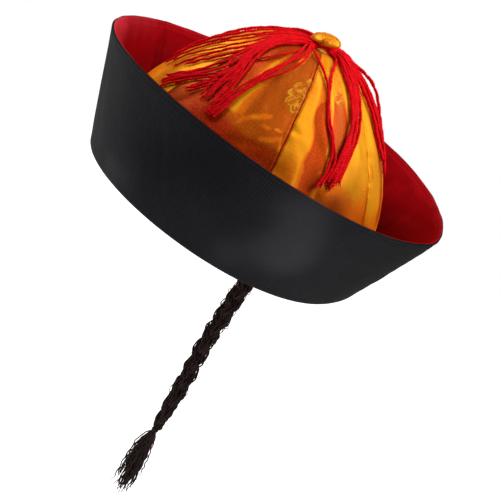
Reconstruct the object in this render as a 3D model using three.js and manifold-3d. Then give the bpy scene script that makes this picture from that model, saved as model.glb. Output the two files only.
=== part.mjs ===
// Chinese hat: a black upturned brim lined in red, a golden crown of six gores, a covered button
// with a spread tassel of red yarn, and a thin black braid that hangs from inside the back.
// Millimetres, +Z up, front towards -Y, right towards +X. The origin is the centre of the head
// opening, level with the brim's lower edge. Angles run round the hat in degrees: 0 at the front,
// 90 at the right side.

import * as THREE from "three";
import { mergeVertices } from "three/addons/utils/BufferGeometryUtils.js";
import Module from "manifold-3d";

const wasm = await Module();
wasm.setup();

// Brim: a straight wall that leans out from an oval lower edge to a round rim
const EDGE_HALF_WIDTH = 97.5;
const EDGE_HALF_DEPTH = 101.5;
const EDGE_SQUARENESS = 0.88;
const EDGE_SADDLE = 0.8;
const RIM_RADIUS = 126;
const RIM_SQUARENESS = 1.03;
const RIM_SADDLE = 3.1;
const RIM_FRONT_RISE = 3;
const BRIM_HEIGHT = 71.5;
const BRIM_SEAM_ANGLE = 98.5;
const SEAM_SWELL = 1.3;
const SEAM_SWELL_WIDTH = 9;
const COVER_THICKNESS = 1.6;
const LINING_THICKNESS = 1.2;
const RIM_LIP_DEPTH = 2.4;
const EDGE_ROUND = 0.7;
const HEM_WIDTH = 6.9;
const BRIM_STEPS = 30;

// Crown: six gores from the brim's hem to a small hole under the button
const CROWN_HALF_WIDTH = 93.8;
const CROWN_HALF_DEPTH = 97.7;
const CROWN_HEIGHT = 124.8;
const CROWN_PLAN_POWER = 2.1;
const CROWN_SHOULDER_POWER = 1.28;
const CROWN_TOP_POWER = 2.35;
const CROWN_BULGE = 0.086;
const CROWN_LEAN_X = -3.6;
const CROWN_LEAN_Y = -1.6;
const CROWN_THICKNESS = 1.2;
const CROWN_TOP_RISE = 0.97;
const GORE_COUNT = 6;
const GORE_TURN = 3.4;
const GORE_PUFF = 1.8;
const GORE_CELLS = { across: 8, up: 12 };

// Button and tassel
const BUTTON_RADIUS = 9.9;
const BUTTON_HEIGHT = 6.4;
const TASSEL_HEAD_RADIUS = 8.6;
const TASSEL_HEAD_HEIGHT = 2.2;
const LOCK_THICKNESS = 2.8;
const LOCK_CLEARANCE = 0.6;
const LOCK_START = 6;
const LOCK_SIDES = 5;
const LOCK_STEPS = 9;
const ARCH_WIDTH = 0.45;

// Braid: where its centre line hangs, from the hem down
const HEAD_TOP = 15;
const HEAD_FOOT = -6;
const HEAD_WIDTH = 15;
const HEAD_DEPTH = 6.4;
const PLAIT_TOP_WIDTH = 15.4;
const PLAIT_FOOT_WIDTH = 13;
const PLAIT_STRAND_SHARE = 0.52;
const PLAIT_DEPTH_SHARE = 0.13;
const PLAIT_TURN = 51;
const PLAIT_STEPS = 36;
const TIE_RADIUS = 2.9;
const TIE_LENGTH = 4;
const TAIL_OPENING = 9;
const TAIL_DRIFT = 2.5;
const TAIL_STEPS = 7;

const GAP = 0.3;

// Soft folds of the crown: a shallow valley (or a ridge, where depth is negative) from one place
// to another, each place an angle and a height
const CROWN_FOLDS = [
  { angle: 4, height: 44, toAngle: 22, toHeight: 60, depth: 1.6, width: 8 },
  { angle: 14, height: 70, toAngle: 27, toHeight: 48, depth: -1.2, width: 7 },
  { angle: -12, height: 58, toAngle: -22, toHeight: 88, depth: 1.4, width: 9 },
  { angle: 52, height: 14, toAngle: 50, toHeight: 84, depth: 1.8, width: 10 },
  { angle: 68, height: 20, toAngle: 64, toHeight: 96, depth: -1.0, width: 11 },
  { angle: -48, height: 66, toAngle: -38, toHeight: 92, depth: 2.0, width: 8 },
  { angle: 112, height: 30, toAngle: 122, toHeight: 78, depth: 1.6, width: 10 },
  { angle: 176, height: 34, toAngle: 196, toHeight: 70, depth: 1.7, width: 10 },
  { angle: 238, height: 26, toAngle: 232, toHeight: 82, depth: 1.5, width: 11 },
  { angle: 282, height: 40, toAngle: 296, toHeight: 72, depth: 1.6, width: 9 },
];

// Locks of the tassel: the angle they lie at where they leave the button, half way and at their
// end, how far they reach from the crown's top, their width, and how high they arch off the
// crown at a distance from its top
const TASSEL_LOCKS = [
  { start: 4, middle: 3, end: -3, reach: 104, width: 5, arch: 1, archAt: 26 },
  { start: 25, middle: 50, end: 56, reach: 109, width: 4.5, arch: 0, archAt: 50 },
  { start: 62, middle: 51, end: 59, reach: 107, width: 4, arch: 0, archAt: 50 },
  { start: 84, middle: 80, end: 62, reach: 104, width: 5, arch: 0.5, archAt: 50 },
  { start: 104, middle: 86, end: 67, reach: 101, width: 6, arch: 0.5, archAt: 50 },
  { start: 120, middle: 113, end: 122, reach: 98, width: 7, arch: 3.5, archAt: 38 },
  { start: 150, middle: 133, end: 128, reach: 86, width: 6, arch: 4, archAt: 36 },
  { start: 172, middle: 158, end: 152, reach: 100, width: 6, arch: 4, archAt: 32 },
  { start: 196, middle: 188, end: 194, reach: 104, width: 7, arch: 2, archAt: 30 },
  { start: 226, middle: 218, end: 212, reach: 98, width: 6, arch: 1.5, archAt: 28 },
  { start: 250, middle: 248, end: 240, reach: 103, width: 7, arch: 1.5, archAt: 28 },
  { start: 274, middle: 287, end: 303, reach: 106, width: 7, arch: 2, archAt: 28 },
  { start: 300, middle: 305, end: 312, reach: 102, width: 4, arch: 1.5, archAt: 30 },
  { start: 328, middle: 331, end: 320, reach: 109, width: 6, arch: 1, archAt: 30 },
  { start: 344, middle: 341, end: 337, reach: 101, width: 6, arch: 1, archAt: 30 },
  { start: 354, middle: 343, end: 350, reach: 99, width: 4, arch: 0.5, archAt: 30 },
];

// The braid's centre line from its head to its tie
const BRAID_ROUTE = [
  [0, 90.2, -6],
  [0.3, 90.2, -20],
  [0.8, 90.2, -34],
  [1.3, 90.2, -48],
  [1.6, 90.2, -62],
  [1.7, 90.2, -75],
  [1.5, 90.2, -88],
  [1.1, 90.2, -102],
  [1.1, 90.2, -116],
  [1.6, 90.2, -129],
  [2.5, 90.2, -142],
  [3.5, 90.2, -155],
  [4.1, 90.2, -169],
  [4.6, 90.2, -183],
  [5.1, 90.2, -195],
  [5.5, 90.2, -205],
];

// Locks of the braid's tail: how far they lie to the right of and behind the tie, their length
// and their thickness
const TAIL_LOCKS = [
  { right: -5.4, back: 0.5, length: 45, thickness: 5.4 },
  { right: -0.5, back: -3.5, length: 50, thickness: 5.8 },
  { right: -0.5, back: 3.5, length: 55, thickness: 5.6 },
  { right: 4, back: -1.5, length: 60, thickness: 5.8 },
  { right: 6.6, back: 2, length: 53, thickness: 5.2 },
];

const radians = THREE.MathUtils.degToRad;
const lerp = THREE.MathUtils.lerp;

function finish(geometry) {
  geometry.deleteAttribute("normal");
  geometry.deleteAttribute("uv");
  return mergeVertices(geometry, 1e-4);
}

// Moves each corner of a plain closed form to its place on the hat
function bend(geometry, place) {
  const closed = finish(geometry);
  const position = closed.attributes.position;
  for (let i = 0; i < position.count; i += 1) {
    const moved = place(position.getX(i), position.getY(i), position.getZ(i));
    position.setXYZ(i, moved.x, moved.y, moved.z);
  }
  return closed;
}

// Runs a closed section from 0 to 1 in the given number of steps
function run(section, steps) {
  return new THREE.ExtrudeGeometry(section, { depth: 1, steps, bevelEnabled: false });
}

function ring(sides, halfWidth, halfHeight) {
  const corners = [];
  for (let i = 0; i < sides; i += 1) {
    const turn = (2 * Math.PI * i) / sides;
    corners.push(new THREE.Vector2(halfWidth * Math.cos(turn), halfHeight * Math.sin(turn)));
  }
  return new THREE.Shape(corners);
}

function fuse(geometries) {
  const solids = geometries.map(
    (geometry) =>
      new wasm.Manifold(
        new wasm.Mesh({
          numProp: 3,
          vertProperties: geometry.attributes.position.array,
          triVerts: new Uint32Array(geometry.index.array),
        }),
      ),
  );
  const joined = solids.reduce((sum, solid) => sum.add(solid)).getMesh();
  const geometry = new THREE.BufferGeometry();
  geometry.setAttribute("position", new THREE.BufferAttribute(joined.vertProperties, 3));
  geometry.setIndex(new THREE.BufferAttribute(joined.triVerts, 1));
  return geometry;
}

// Brim

function planPoint(angle, halfWidth, halfDepth, squareness) {
  const forward = Math.cos(radians(angle));
  const reach = Math.sign(forward) * Math.abs(forward) ** squareness;
  return new THREE.Vector3(halfWidth * Math.sin(radians(angle)), -halfDepth * reach, 0);
}

function edgeHeight(angle) {
  return EDGE_SADDLE * Math.cos(2 * radians(angle));
}

// The seam allowances make the rim stand a little proud at the side seams
function seamSwell(angle) {
  const turned = Math.abs(THREE.MathUtils.euclideanModulo(angle + 180, 360) - 180);
  return SEAM_SWELL * Math.exp(-(((turned - BRIM_SEAM_ANGLE) / SEAM_SWELL_WIDTH) ** 2));
}

function brimFace(angle, height) {
  const low = planPoint(angle, EDGE_HALF_WIDTH, EDGE_HALF_DEPTH, EDGE_SQUARENESS);
  low.z = edgeHeight(angle);
  const rimRadius = RIM_RADIUS + seamSwell(angle);
  const high = planPoint(angle, rimRadius, rimRadius, RIM_SQUARENESS);
  high.z = BRIM_HEIGHT;
  high.z += RIM_SADDLE * Math.cos(2 * radians(angle)) + RIM_FRONT_RISE * Math.cos(radians(angle));
  return low.lerp(high, height / BRIM_HEIGHT);
}

// A point that lies an inset inside the brim's outer face, level with it
function brimPoint(angle, inset, height) {
  const face = brimFace(angle, height);
  const along = brimFace(angle + 1, height).sub(brimFace(angle - 1, height));
  const outward = new THREE.Vector3(along.y, -along.x, 0).normalize();
  return face.addScaledVector(outward, -inset);
}

// The cover's section: x is the inset from the outer face, y the height
function coverSection() {
  const wall = COVER_THICKNESS + GAP + LINING_THICKNESS;
  const roll = wall / 2;
  const section = new THREE.Shape();
  section.moveTo(0, EDGE_ROUND);
  for (const share of [0.25, 0.5, 0.75]) section.lineTo(0, share * BRIM_HEIGHT);
  section.lineTo(0, BRIM_HEIGHT - roll);
  for (const turn of [150, 120, 90, 60, 30, 0]) {
    const x = roll + roll * Math.cos(radians(turn));
    section.lineTo(x, BRIM_HEIGHT - roll + roll * Math.sin(radians(turn)));
  }
  section.lineTo(wall, BRIM_HEIGHT - RIM_LIP_DEPTH);
  section.lineTo(COVER_THICKNESS, BRIM_HEIGHT - RIM_LIP_DEPTH);
  for (const share of [0.75, 0.5, 0.25]) section.lineTo(COVER_THICKNESS, share * BRIM_HEIGHT);
  section.lineTo(COVER_THICKNESS, COVER_THICKNESS);
  section.lineTo(HEM_WIDTH - COVER_THICKNESS / 4, COVER_THICKNESS);
  section.lineTo(HEM_WIDTH, COVER_THICKNESS / 2);
  section.lineTo(HEM_WIDTH - COVER_THICKNESS / 4, 0);
  section.lineTo(EDGE_ROUND, 0);
  section.lineTo(EDGE_ROUND * 0.29, EDGE_ROUND * 0.29);
  return section;
}

function liningSection() {
  const outer = COVER_THICKNESS + GAP;
  const inner = outer + LINING_THICKNESS;
  const foot = COVER_THICKNESS + GAP;
  const top = BRIM_HEIGHT - RIM_LIP_DEPTH - GAP;
  const section = new THREE.Shape();
  section.moveTo(outer, foot);
  for (const share of [0.33, 0.67, 1]) section.lineTo(outer, lerp(foot, top, share));
  for (const share of [1, 0.67, 0.33, 0]) section.lineTo(inner, lerp(foot, top, share));
  return section;
}

function brimHalf(section, middleAngle, halfSpan) {
  const gapAngle = THREE.MathUtils.radToDeg(GAP / 2 / EDGE_HALF_WIDTH);
  const reach = halfSpan - gapAngle;
  return bend(run(section, BRIM_STEPS), (inset, height, share) =>
    brimPoint(lerp(middleAngle - reach, middleAngle + reach, share), inset, height),
  );
}

// Crown

function foldDepth(angle, height) {
  let depth = 0;
  for (const fold of CROWN_FOLDS) {
    const off = THREE.MathUtils.euclideanModulo(angle - fold.angle + 180, 360) - 180;
    const perDegree = radians(CROWN_HALF_WIDTH);
    const runX = (fold.toAngle - fold.angle) * perDegree;
    const runY = fold.toHeight - fold.height;
    const atX = off * perDegree;
    const atY = height - fold.height;
    const share = THREE.MathUtils.clamp(
      (atX * runX + atY * runY) / (runX * runX + runY * runY),
      0,
      1,
    );
    const away = Math.hypot(atX - share * runX, atY - share * runY) / fold.width;
    depth += fold.depth * Math.exp(-away * away);
  }
  return depth;
}

function crownOutline(angle, height) {
  const rise = THREE.MathUtils.clamp(height / CROWN_HEIGHT, 0, 1);
  const across = Math.abs(Math.sin(radians(angle))) / CROWN_HALF_WIDTH;
  const along = Math.abs(Math.cos(radians(angle))) / CROWN_HALF_DEPTH;
  const plan = (across ** CROWN_PLAN_POWER + along ** CROWN_PLAN_POWER) ** (-1 / CROWN_PLAN_POWER);
  const bulge = 1 + CROWN_BULGE * Math.sin(Math.PI * rise);
  return plan * bulge * (1 - rise ** CROWN_SHOULDER_POWER) ** (1 / CROWN_TOP_POWER);
}

// Rise runs evenly from 0 at the hem to 1 at the top
function crownHeight(angle, rise) {
  const foot = COVER_THICKNESS + GAP + edgeHeight(angle);
  return lerp(foot, CROWN_HEIGHT, Math.sin((rise * Math.PI) / 2));
}

function crownRadius(angle, rise) {
  const height = crownHeight(angle, rise);
  const fade = Math.sin(Math.PI * THREE.MathUtils.clamp(rise, 0, 1)) ** 0.7;
  const seamShape = Math.abs(Math.cos((radians(angle - GORE_TURN) * GORE_COUNT) / 2)) ** 0.8;
  const puff = GORE_PUFF * (seamShape - 0.5) - foldDepth(angle, height);
  return crownOutline(angle, height) + puff * fade;
}

function crownFace(angle, rise) {
  const radius = crownRadius(angle, rise);
  const height = crownHeight(angle, rise);
  const share = height / CROWN_HEIGHT;
  return new THREE.Vector3(
    radius * Math.sin(radians(angle)) + CROWN_LEAN_X * share,
    -radius * Math.cos(radians(angle)) + CROWN_LEAN_Y * share,
    height,
  );
}

// Square to the cloth as it runs up the crown, and never across a seam
function crownOutward(angle, rise) {
  const round = new THREE.Vector3(Math.cos(radians(angle)), Math.sin(radians(angle)), 0);
  const up = crownFace(angle, rise + 0.01).sub(crownFace(angle, rise - 0.01));
  return round.cross(up).normalize();
}

function crownPoint(angle, rise, inset) {
  return crownFace(angle, rise).addScaledVector(crownOutward(angle, rise), -inset);
}

function crownGore(middleAngle) {
  const halfSpan = 180 / GORE_COUNT;
  const sheet = new THREE.BoxGeometry(2, 1, 1, GORE_CELLS.across, GORE_CELLS.up, 1);
  sheet.translate(0, 0.5, 0.5);
  return bend(sheet, (across, up, out) => {
    const rise = Math.max(up * CROWN_TOP_RISE, 0);
    const seamRadius = crownRadius(middleAngle + Math.sign(across) * halfSpan, rise);
    const seamGap = Math.asin(GAP / 2 / (seamRadius - CROWN_THICKNESS));
    const reach = halfSpan - THREE.MathUtils.radToDeg(seamGap);
    return crownPoint(middleAngle + across * reach, rise, (1 - out) * CROWN_THICKNESS);
  });
}

// Button and tassel

const CROWN_TOP = new THREE.Vector3(CROWN_LEAN_X, CROWN_LEAN_Y, CROWN_HEIGHT);

function button() {
  const profile = [new THREE.Vector2(0, 0), new THREE.Vector2(BUTTON_RADIUS * 0.84, 0)];
  for (const turn of [0, 18, 36, 54, 72, 90]) {
    const height = BUTTON_HEIGHT * (0.25 + 0.75 * Math.sin(radians(turn)));
    profile.push(new THREE.Vector2(BUTTON_RADIUS * Math.cos(radians(turn)), height));
  }
  profile[profile.length - 1].x = 0;
  const dome = new THREE.LatheGeometry(profile, 20);
  return finish(dome.rotateX(Math.PI / 2));
}

// How far up the crown a point lies that is a distance from the top, measured over the cloth
function riseAt(distance) {
  const step = 0.005;
  let rise = 1;
  let walked = 0;
  let last = crownFace(45, 1);
  while (walked < distance) {
    rise -= step;
    const next = crownFace(45, rise);
    walked += next.distanceTo(last);
    last = next;
  }
  return rise;
}

// Locks are pressed thin under the button
function lockThickness(share) {
  return LOCK_THICKNESS * Math.min(1, 0.5 + 5 * share);
}

function lockPath(lock, share) {
  const distance = lerp(LOCK_START, lock.reach, share);
  const early = (1 - share) * (1 - 2 * share);
  const angle = lock.start * early + lock.middle * 4 * share * (1 - share);
  const settled = angle + lock.end * share * (2 * share - 1);
  const fromArch = (distance - lock.archAt) / (ARCH_WIDTH * lock.archAt);
  const arch = lock.arch * Math.exp(-(fromArch ** 2));
  const lift = LOCK_CLEARANCE + lockThickness(share) / 2 + arch;
  return crownPoint(settled, riseAt(distance), -lift);
}

function tasselLock(lock) {
  return bend(run(ring(LOCK_SIDES, 0.5, 0.5), LOCK_STEPS), (across, lift, share) => {
    const centre = lockPath(lock, share);
    const ahead = lockPath(lock, Math.min(share + 0.02, 1));
    const behind = lockPath(lock, Math.max(share - 0.02, 0));
    const forward = ahead.sub(behind).normalize();
    const middle = new THREE.Vector3(CROWN_LEAN_X, CROWN_LEAN_Y, CROWN_HEIGHT * 0.25);
    const outward = centre.clone().sub(middle).normalize();
    const side = outward.clone().cross(forward).normalize();
    const up = forward.clone().cross(side);
    const width = lock.width * (0.65 + 0.7 * share - 0.75 * share ** 4);
    const raised = lift * lockThickness(share);
    return centre.addScaledVector(side, across * width).addScaledVector(up, raised);
  });
}

function tassel() {
  const rim = TASSEL_HEAD_HEIGHT * 0.45;
  const profile = [
    new THREE.Vector2(0, GAP),
    new THREE.Vector2(TASSEL_HEAD_RADIUS * 0.8, GAP),
    new THREE.Vector2(TASSEL_HEAD_RADIUS, rim),
    new THREE.Vector2(TASSEL_HEAD_RADIUS * 0.8, TASSEL_HEAD_HEIGHT),
    new THREE.Vector2(0, TASSEL_HEAD_HEIGHT),
  ];
  const head = new THREE.LatheGeometry(profile, 16).rotateX(Math.PI / 2);
  head.translate(CROWN_TOP.x, CROWN_TOP.y, CROWN_TOP.z);
  return fuse([finish(head), ...TASSEL_LOCKS.map(tasselLock)]);
}

// Braid

const braidRoute = new THREE.CatmullRomCurve3(
  BRAID_ROUTE.map(([x, y, z]) => new THREE.Vector3(x, y, z)),
);
const BRAID_LENGTH = braidRoute.getLength();

function plaitStrand(order) {
  const phase = (2 * Math.PI * order) / 3;
  const turns = BRAID_LENGTH / PLAIT_TURN;
  const section = ring(6, 0.5, 0.5);
  return bend(run(section, PLAIT_STEPS), (x, y, share) => {
    const width = lerp(PLAIT_TOP_WIDTH, PLAIT_FOOT_WIDTH, share);
    const pinch = Math.min(1, 0.55 + 4 * (1 - share)) * Math.min(1, 0.7 + 4 * share);
    const strand = width * PLAIT_STRAND_SHARE * pinch;
    const swing = ((width - strand) / 2) * pinch;
    const turn = 2 * Math.PI * turns * share + phase;
    const centre = braidRoute.getPointAt(share);
    centre.x += swing * Math.sin(turn);
    centre.y += width * PLAIT_DEPTH_SHARE * pinch * Math.sin(2 * turn);
    return new THREE.Vector3(centre.x + strand * x, centre.y - strand * y, centre.z);
  });
}

function braidHead() {
  const section = new THREE.Shape();
  const half = HEAD_WIDTH / 2;
  const round = HEAD_DEPTH / 2;
  section.absarc(half - round, 0, round, -Math.PI / 2, Math.PI / 2);
  section.absarc(round - half, 0, round, Math.PI / 2, (3 * Math.PI) / 2);
  const height = HEAD_TOP - HEAD_FOOT - GAP;
  const options = { depth: height, steps: 1, bevelEnabled: false, curveSegments: 5 };
  return finish(new THREE.ExtrudeGeometry(section, options));
}

function braidTie() {
  const bulge = TIE_RADIUS;
  const profile = [
    new THREE.Vector2(0, 0),
    new THREE.Vector2(bulge * 0.8, 0),
    new THREE.Vector2(bulge, TIE_LENGTH * 0.3),
    new THREE.Vector2(bulge, TIE_LENGTH * 0.7),
    new THREE.Vector2(bulge * 0.8, TIE_LENGTH),
    new THREE.Vector2(0, TIE_LENGTH),
  ];
  return finish(new THREE.LatheGeometry(profile, 12).rotateX(Math.PI / 2));
}

function tailLock(lock) {
  return bend(run(ring(LOCK_SIDES, 0.5, 0.5), TAIL_STEPS), (x, y, share) => {
    const opened = 1 - Math.exp(-TAIL_OPENING * share);
    const right = lock.right * opened + TAIL_DRIFT * share ** 2;
    const thick = lock.thickness * (0.8 + 0.4 * share - 0.85 * share ** 4);
    const back = lock.back * opened;
    return new THREE.Vector3(right + thick * x, back - thick * y, -lock.length * share);
  });
}

// Finishes

function finishOf(color, roughness, metalness = 0) {
  return new THREE.MeshStandardMaterial({ color, roughness, metalness });
}

const BLACK_CLOTH = finishOf(0x1d1d20, 0.55);
const RED_SATIN = finishOf(0x9c0912, 0.45);
const GOLD_BROCADE = finishOf(0xf0a21c, 0.35, 0.1);
const RED_YARN = finishOf(0xd80f1e, 0.8);
const BLACK_YARN = finishOf(0x181210, 0.85);

const hat = new THREE.Group();

function add(name, geometry, material, x = 0, y = 0, z = 0) {
  const mesh = new THREE.Mesh(geometry, material);
  mesh.name = name;
  mesh.position.set(x, y, z);
  hat.add(mesh);
}

const brimHalves = [
  { name: "front", middle: 0, halfSpan: BRIM_SEAM_ANGLE },
  { name: "back", middle: 180, halfSpan: 180 - BRIM_SEAM_ANGLE },
];
for (const { name, middle, halfSpan } of brimHalves) {
  add("brim_cover_" + name, brimHalf(coverSection(), middle, halfSpan), BLACK_CLOTH);
  add("brim_lining_" + name, brimHalf(liningSection(), middle, halfSpan), RED_SATIN);
}

for (let gore = 0; gore < GORE_COUNT; gore += 1) {
  add("crown_gore_" + (gore + 1), crownGore((gore * 360) / GORE_COUNT + GORE_TURN), GOLD_BROCADE);
}

const buttonFoot = CROWN_TOP.z + TASSEL_HEAD_HEIGHT + GAP;
add("crown_button", button(), GOLD_BROCADE, CROWN_TOP.x, CROWN_TOP.y, buttonFoot);
add("yarn_tassel", tassel(), RED_YARN);

const [headX, headY] = BRAID_ROUTE[0];
const tieTop = new THREE.Vector3(...BRAID_ROUTE[BRAID_ROUTE.length - 1]);
tieTop.z -= GAP;
const tailTop = tieTop.z - TIE_LENGTH - GAP;
add("braid_head", braidHead(), BLACK_YARN, headX, headY, HEAD_FOOT + GAP);
add("braid_plait", fuse([0, 1, 2].map(plaitStrand)), BLACK_YARN);
add("braid_tie", braidTie(), BLACK_YARN, tieTop.x, tieTop.y, tieTop.z - TIE_LENGTH);
add("braid_tail", fuse(TAIL_LOCKS.map(tailLock)), BLACK_YARN, tieTop.x, tieTop.y, tailTop);

export default hat;
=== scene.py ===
import math

import bpy
import numpy as np
from mathutils import Matrix, Vector


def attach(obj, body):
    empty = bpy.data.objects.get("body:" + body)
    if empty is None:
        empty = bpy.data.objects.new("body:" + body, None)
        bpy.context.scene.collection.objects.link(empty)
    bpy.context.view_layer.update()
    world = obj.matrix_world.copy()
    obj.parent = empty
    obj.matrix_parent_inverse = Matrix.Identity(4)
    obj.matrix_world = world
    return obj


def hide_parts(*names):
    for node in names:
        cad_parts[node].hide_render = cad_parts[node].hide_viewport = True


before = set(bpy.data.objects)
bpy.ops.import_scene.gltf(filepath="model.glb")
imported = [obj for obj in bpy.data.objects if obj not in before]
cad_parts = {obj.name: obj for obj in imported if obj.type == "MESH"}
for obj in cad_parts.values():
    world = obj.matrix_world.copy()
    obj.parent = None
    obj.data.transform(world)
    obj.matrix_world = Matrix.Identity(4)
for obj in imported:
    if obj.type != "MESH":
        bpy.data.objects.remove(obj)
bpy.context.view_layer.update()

bl_info = {
    "name": "Chinese hat",
    "version": (1, 0, 0),
    "blender": (4, 5, 0),
    "location": "View3D > Sidebar > Chinese hat",
    "description": "Builds a Chinese hat with a brocade crown, a yarn tassel and a braid",
    "category": "Add Mesh",
}

MM = 0.001

# Brim, as in the part's source
EDGE_HALF_WIDTH = 97.5
EDGE_HALF_DEPTH = 101.5
EDGE_SQUARENESS = 0.88
EDGE_SADDLE = 0.8
RIM_RADIUS = 126
RIM_SQUARENESS = 1.03
RIM_SADDLE = 3.1
RIM_FRONT_RISE = 3
BRIM_HEIGHT = 71.5
BRIM_SEAM_ANGLE = 98.5
SEAM_SWELL = 1.3
SEAM_SWELL_WIDTH = 9
COVER_THICKNESS = 1.6
LINING_THICKNESS = 1.2
GAP = 0.3
RIM_LIP_DEPTH = 2.4
RIM_ROLL = 0.98
HEM_WIDTH = 6.9

# Brim, its cloth: a stitched groove below the rim, radii that turn angles into lengths, how far the
# mesh crowds at the side seams, what the rolled rim and the curve of the flared wall add to a flat
# piece, and how far the lining's halves lap over each other, in degrees
RIM_GROOVE = 2.7
WALL_ROWS = 33
ROLL_STEPS = 10
ROLL_ALLOWANCE = 2
WALL_RADIUS = 112
LINING_RADIUS = 108
SEAM_CROWDING = 0.94
COVER_COLUMNS_PER_DEGREE = 1.1
LINING_ROWS = 44
COVER_FLARE = 1.15
LINING_FLARE = 1.2
LINING_LAP = 0.12

# Crown, as in the part's source
CROWN_HALF_WIDTH = 93.8
CROWN_HALF_DEPTH = 97.7
CROWN_HEIGHT = 124.8
CROWN_PLAN_POWER = 2.1
CROWN_SHOULDER_POWER = 1.28
CROWN_TOP_POWER = 2.35
CROWN_BULGE = 0.086
CROWN_LEAN = (-3.6, -1.6)
CROWN_THICKNESS = 1.2
CROWN_TOP_RISE = 0.97
GORE_COUNT = 6
GORE_TURN = 3.4
GORE_PUFF = 1.8
GORE_HALF_SPAN = 180 / GORE_COUNT

# Crown, its cloth: the mesh of a gore, and the radius that turns its marks' angles into lengths
GORE_COLUMNS = 64
GORE_ROWS = 96
TONE_RADIUS = 75

# Button and tassel
BUTTON_RADIUS = 9.9
BUTTON_HEIGHT = 7.4
BUTTON_TIP = 15
BUTTON_PIVOT = 2
BUTTON_LIFT = 0.6
BUTTON_GATHERS = 17
BUTTON_CLOTH_SHARE = 1.45
TASSEL_HEAD_HEIGHT = 2.2
BUTTON_FOOT = CROWN_HEIGHT + TASSEL_HEAD_HEIGHT + GAP
YARN_START = 4.5
YARN_PLIES = 2
YARN_TURNS = 26
PLY_GROOVE = 0.66
YARN_POINTS = 120
YARN_CLEARANCE = 0.35
FIBRES_PER_YARN = 14
ENDS_PER_YARN = 5
ARCH_WIDTH = 0.45
TASSEL_SEED = 7

# Braid
HEAD_TOP = 15
HEAD_FOOT = -6
HEAD_WIDTH = 15
HEAD_DEPTH = 6.4
PLAIT_TOP_WIDTH = 15.4
PLAIT_FOOT_WIDTH = 13
PLAIT_STRAND_SHARE = 0.58
PLAIT_DEPTH_SHARE = 0.13
PLAIT_TURN = 51
TIE_LENGTH = 4
YARNS_PER_STRAND = 17
CRIMP_ACROSS = ((0.42, 96), (0.3, 167))
CRIMP_THROUGH = ((0.4, 104), (0.25, 151))
STRAY_LOOPS = 34
STRAY_BOW = (1.2, 3.1)
STRAY_THICKNESS = 0.45
GOLDEN_ANGLE = 137.508
HEAD_YARNS = 44
HEAD_BINDINGS = (2.4, 3.5, 4.6, 5.7)
TIE_TURNS = 5
TIE_CORE_YARNS = 9
TAIL_YARNS = 74
TAIL_LENGTHS = (40, 64)
LONG_YARN_STEPS = 150
SHORT_YARN_STEPS = 40
BRAID_SEED = 19

# Camera and lights, in the photograph's place. The focal length is in the photograph's pixels.
VIEW_TURN = 23.5
VIEW_RISE = 19.873
VIEW_ROLL = 32.964
VIEW_DISTANCE = 950
VIEW_RIGHT = 27.287
VIEW_UP = -13.695
PHOTO_SIZE = 500
FOCAL_LENGTH = 1438.534
SENSOR_WIDTH = 36
FLOOR_LEVEL = -0.42
FLOOR_RADIUS = 1.6
ROOM_LIGHT = 0.1
BACKDROP_LIGHT = 1.0

# Softboxes: which way they stand from the hat (to the right, up and back, as the camera sees it),
# how far away, their size in metres and their power
SOFTBOXES = [
    ("key_light", (1.0, 0.42, 0.25), 1.4, (1.5, 1.5), 33),
    ("rim_light", (-0.3, 1.0, 0.1), 1.3, (1.0, 0.8), 14),
]

# The braid's centre line from its head to its tie
BRAID_ROUTE = [
    (0, 90.2, -6),
    (0.3, 90.2, -20),
    (0.8, 90.2, -34),
    (1.3, 90.2, -48),
    (1.6, 90.2, -62),
    (1.7, 90.2, -75),
    (1.5, 90.2, -88),
    (1.1, 90.2, -102),
    (1.1, 90.2, -116),
    (1.6, 90.2, -129),
    (2.5, 90.2, -142),
    (3.5, 90.2, -155),
    (4.1, 90.2, -169),
    (4.6, 90.2, -183),
    (5.1, 90.2, -195),
    (5.5, 90.2, -205),
]

# Folds and creases: from an angle and a height to an angle and a height, their depth (a ridge
# where it is negative) and their width
CROWN_FOLDS = [
    (4, 44, 22, 60, 1.6, 8),
    (14, 70, 27, 48, -1.2, 7),
    (-12, 58, -22, 88, 1.4, 9),
    (52, 14, 50, 84, 1.8, 10),
    (68, 20, 64, 96, -1.0, 11),
    (-48, 66, -38, 92, 2.0, 8),
    (112, 30, 122, 78, 1.6, 10),
    (176, 34, 196, 70, 1.7, 10),
    (238, 26, 232, 82, 1.5, 11),
    (282, 40, 296, 72, 1.6, 9),
]
CROWN_CREASES = [
    (12, 66, 24, 72, 0.5, 2.2),
    (14, 60, 27, 63, -0.5, 2.0),
    (16, 55, 28, 58, 0.5, 1.9),
    (17, 50, 24, 42, -0.45, 2.2),
    (20, 62, 22, 48, 0.4, 1.8),
    (97, 12, 92, 62, 0.9, 3.0),
    (85, 30, 80, 70, 0.6, 4.0),
    (41, 20, 45, 60, -0.6, 5.0),
    (-20, 60, -8, 84, 0.6, 3.0),
    (-26, 92, -14, 100, -0.5, 3.0),
    (142, 16, 150, 58, 0.8, 3.2),
    (160, 44, 168, 60, -0.5, 2.4),
    (203, 20, 212, 56, 0.7, 3.0),
    (222, 52, 226, 78, -0.6, 3.0),
    (255, 18, 262, 60, 0.7, 3.2),
    (304, 26, 314, 62, 0.7, 3.0),
]
COVER_CREASES = [
    (-3, 54, 4.5, 20, 0.45, 1.6),
    (-1, 56, 6.5, 20, -0.3, 2.4),
    (37.5, 21, 39, 3, -0.22, 1.6),
    (57, 26, 76, 4, -0.35, 6),
    (70, 40, 84, 12, 0.3, 7),
    (-44, 60, -38, 18, 0.3, 7),
    (128, 55, 140, 14, 0.4, 6),
    (170, 62, 164, 10, 0.3, 8),
    (214, 48, 222, 16, -0.35, 6),
]
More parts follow.
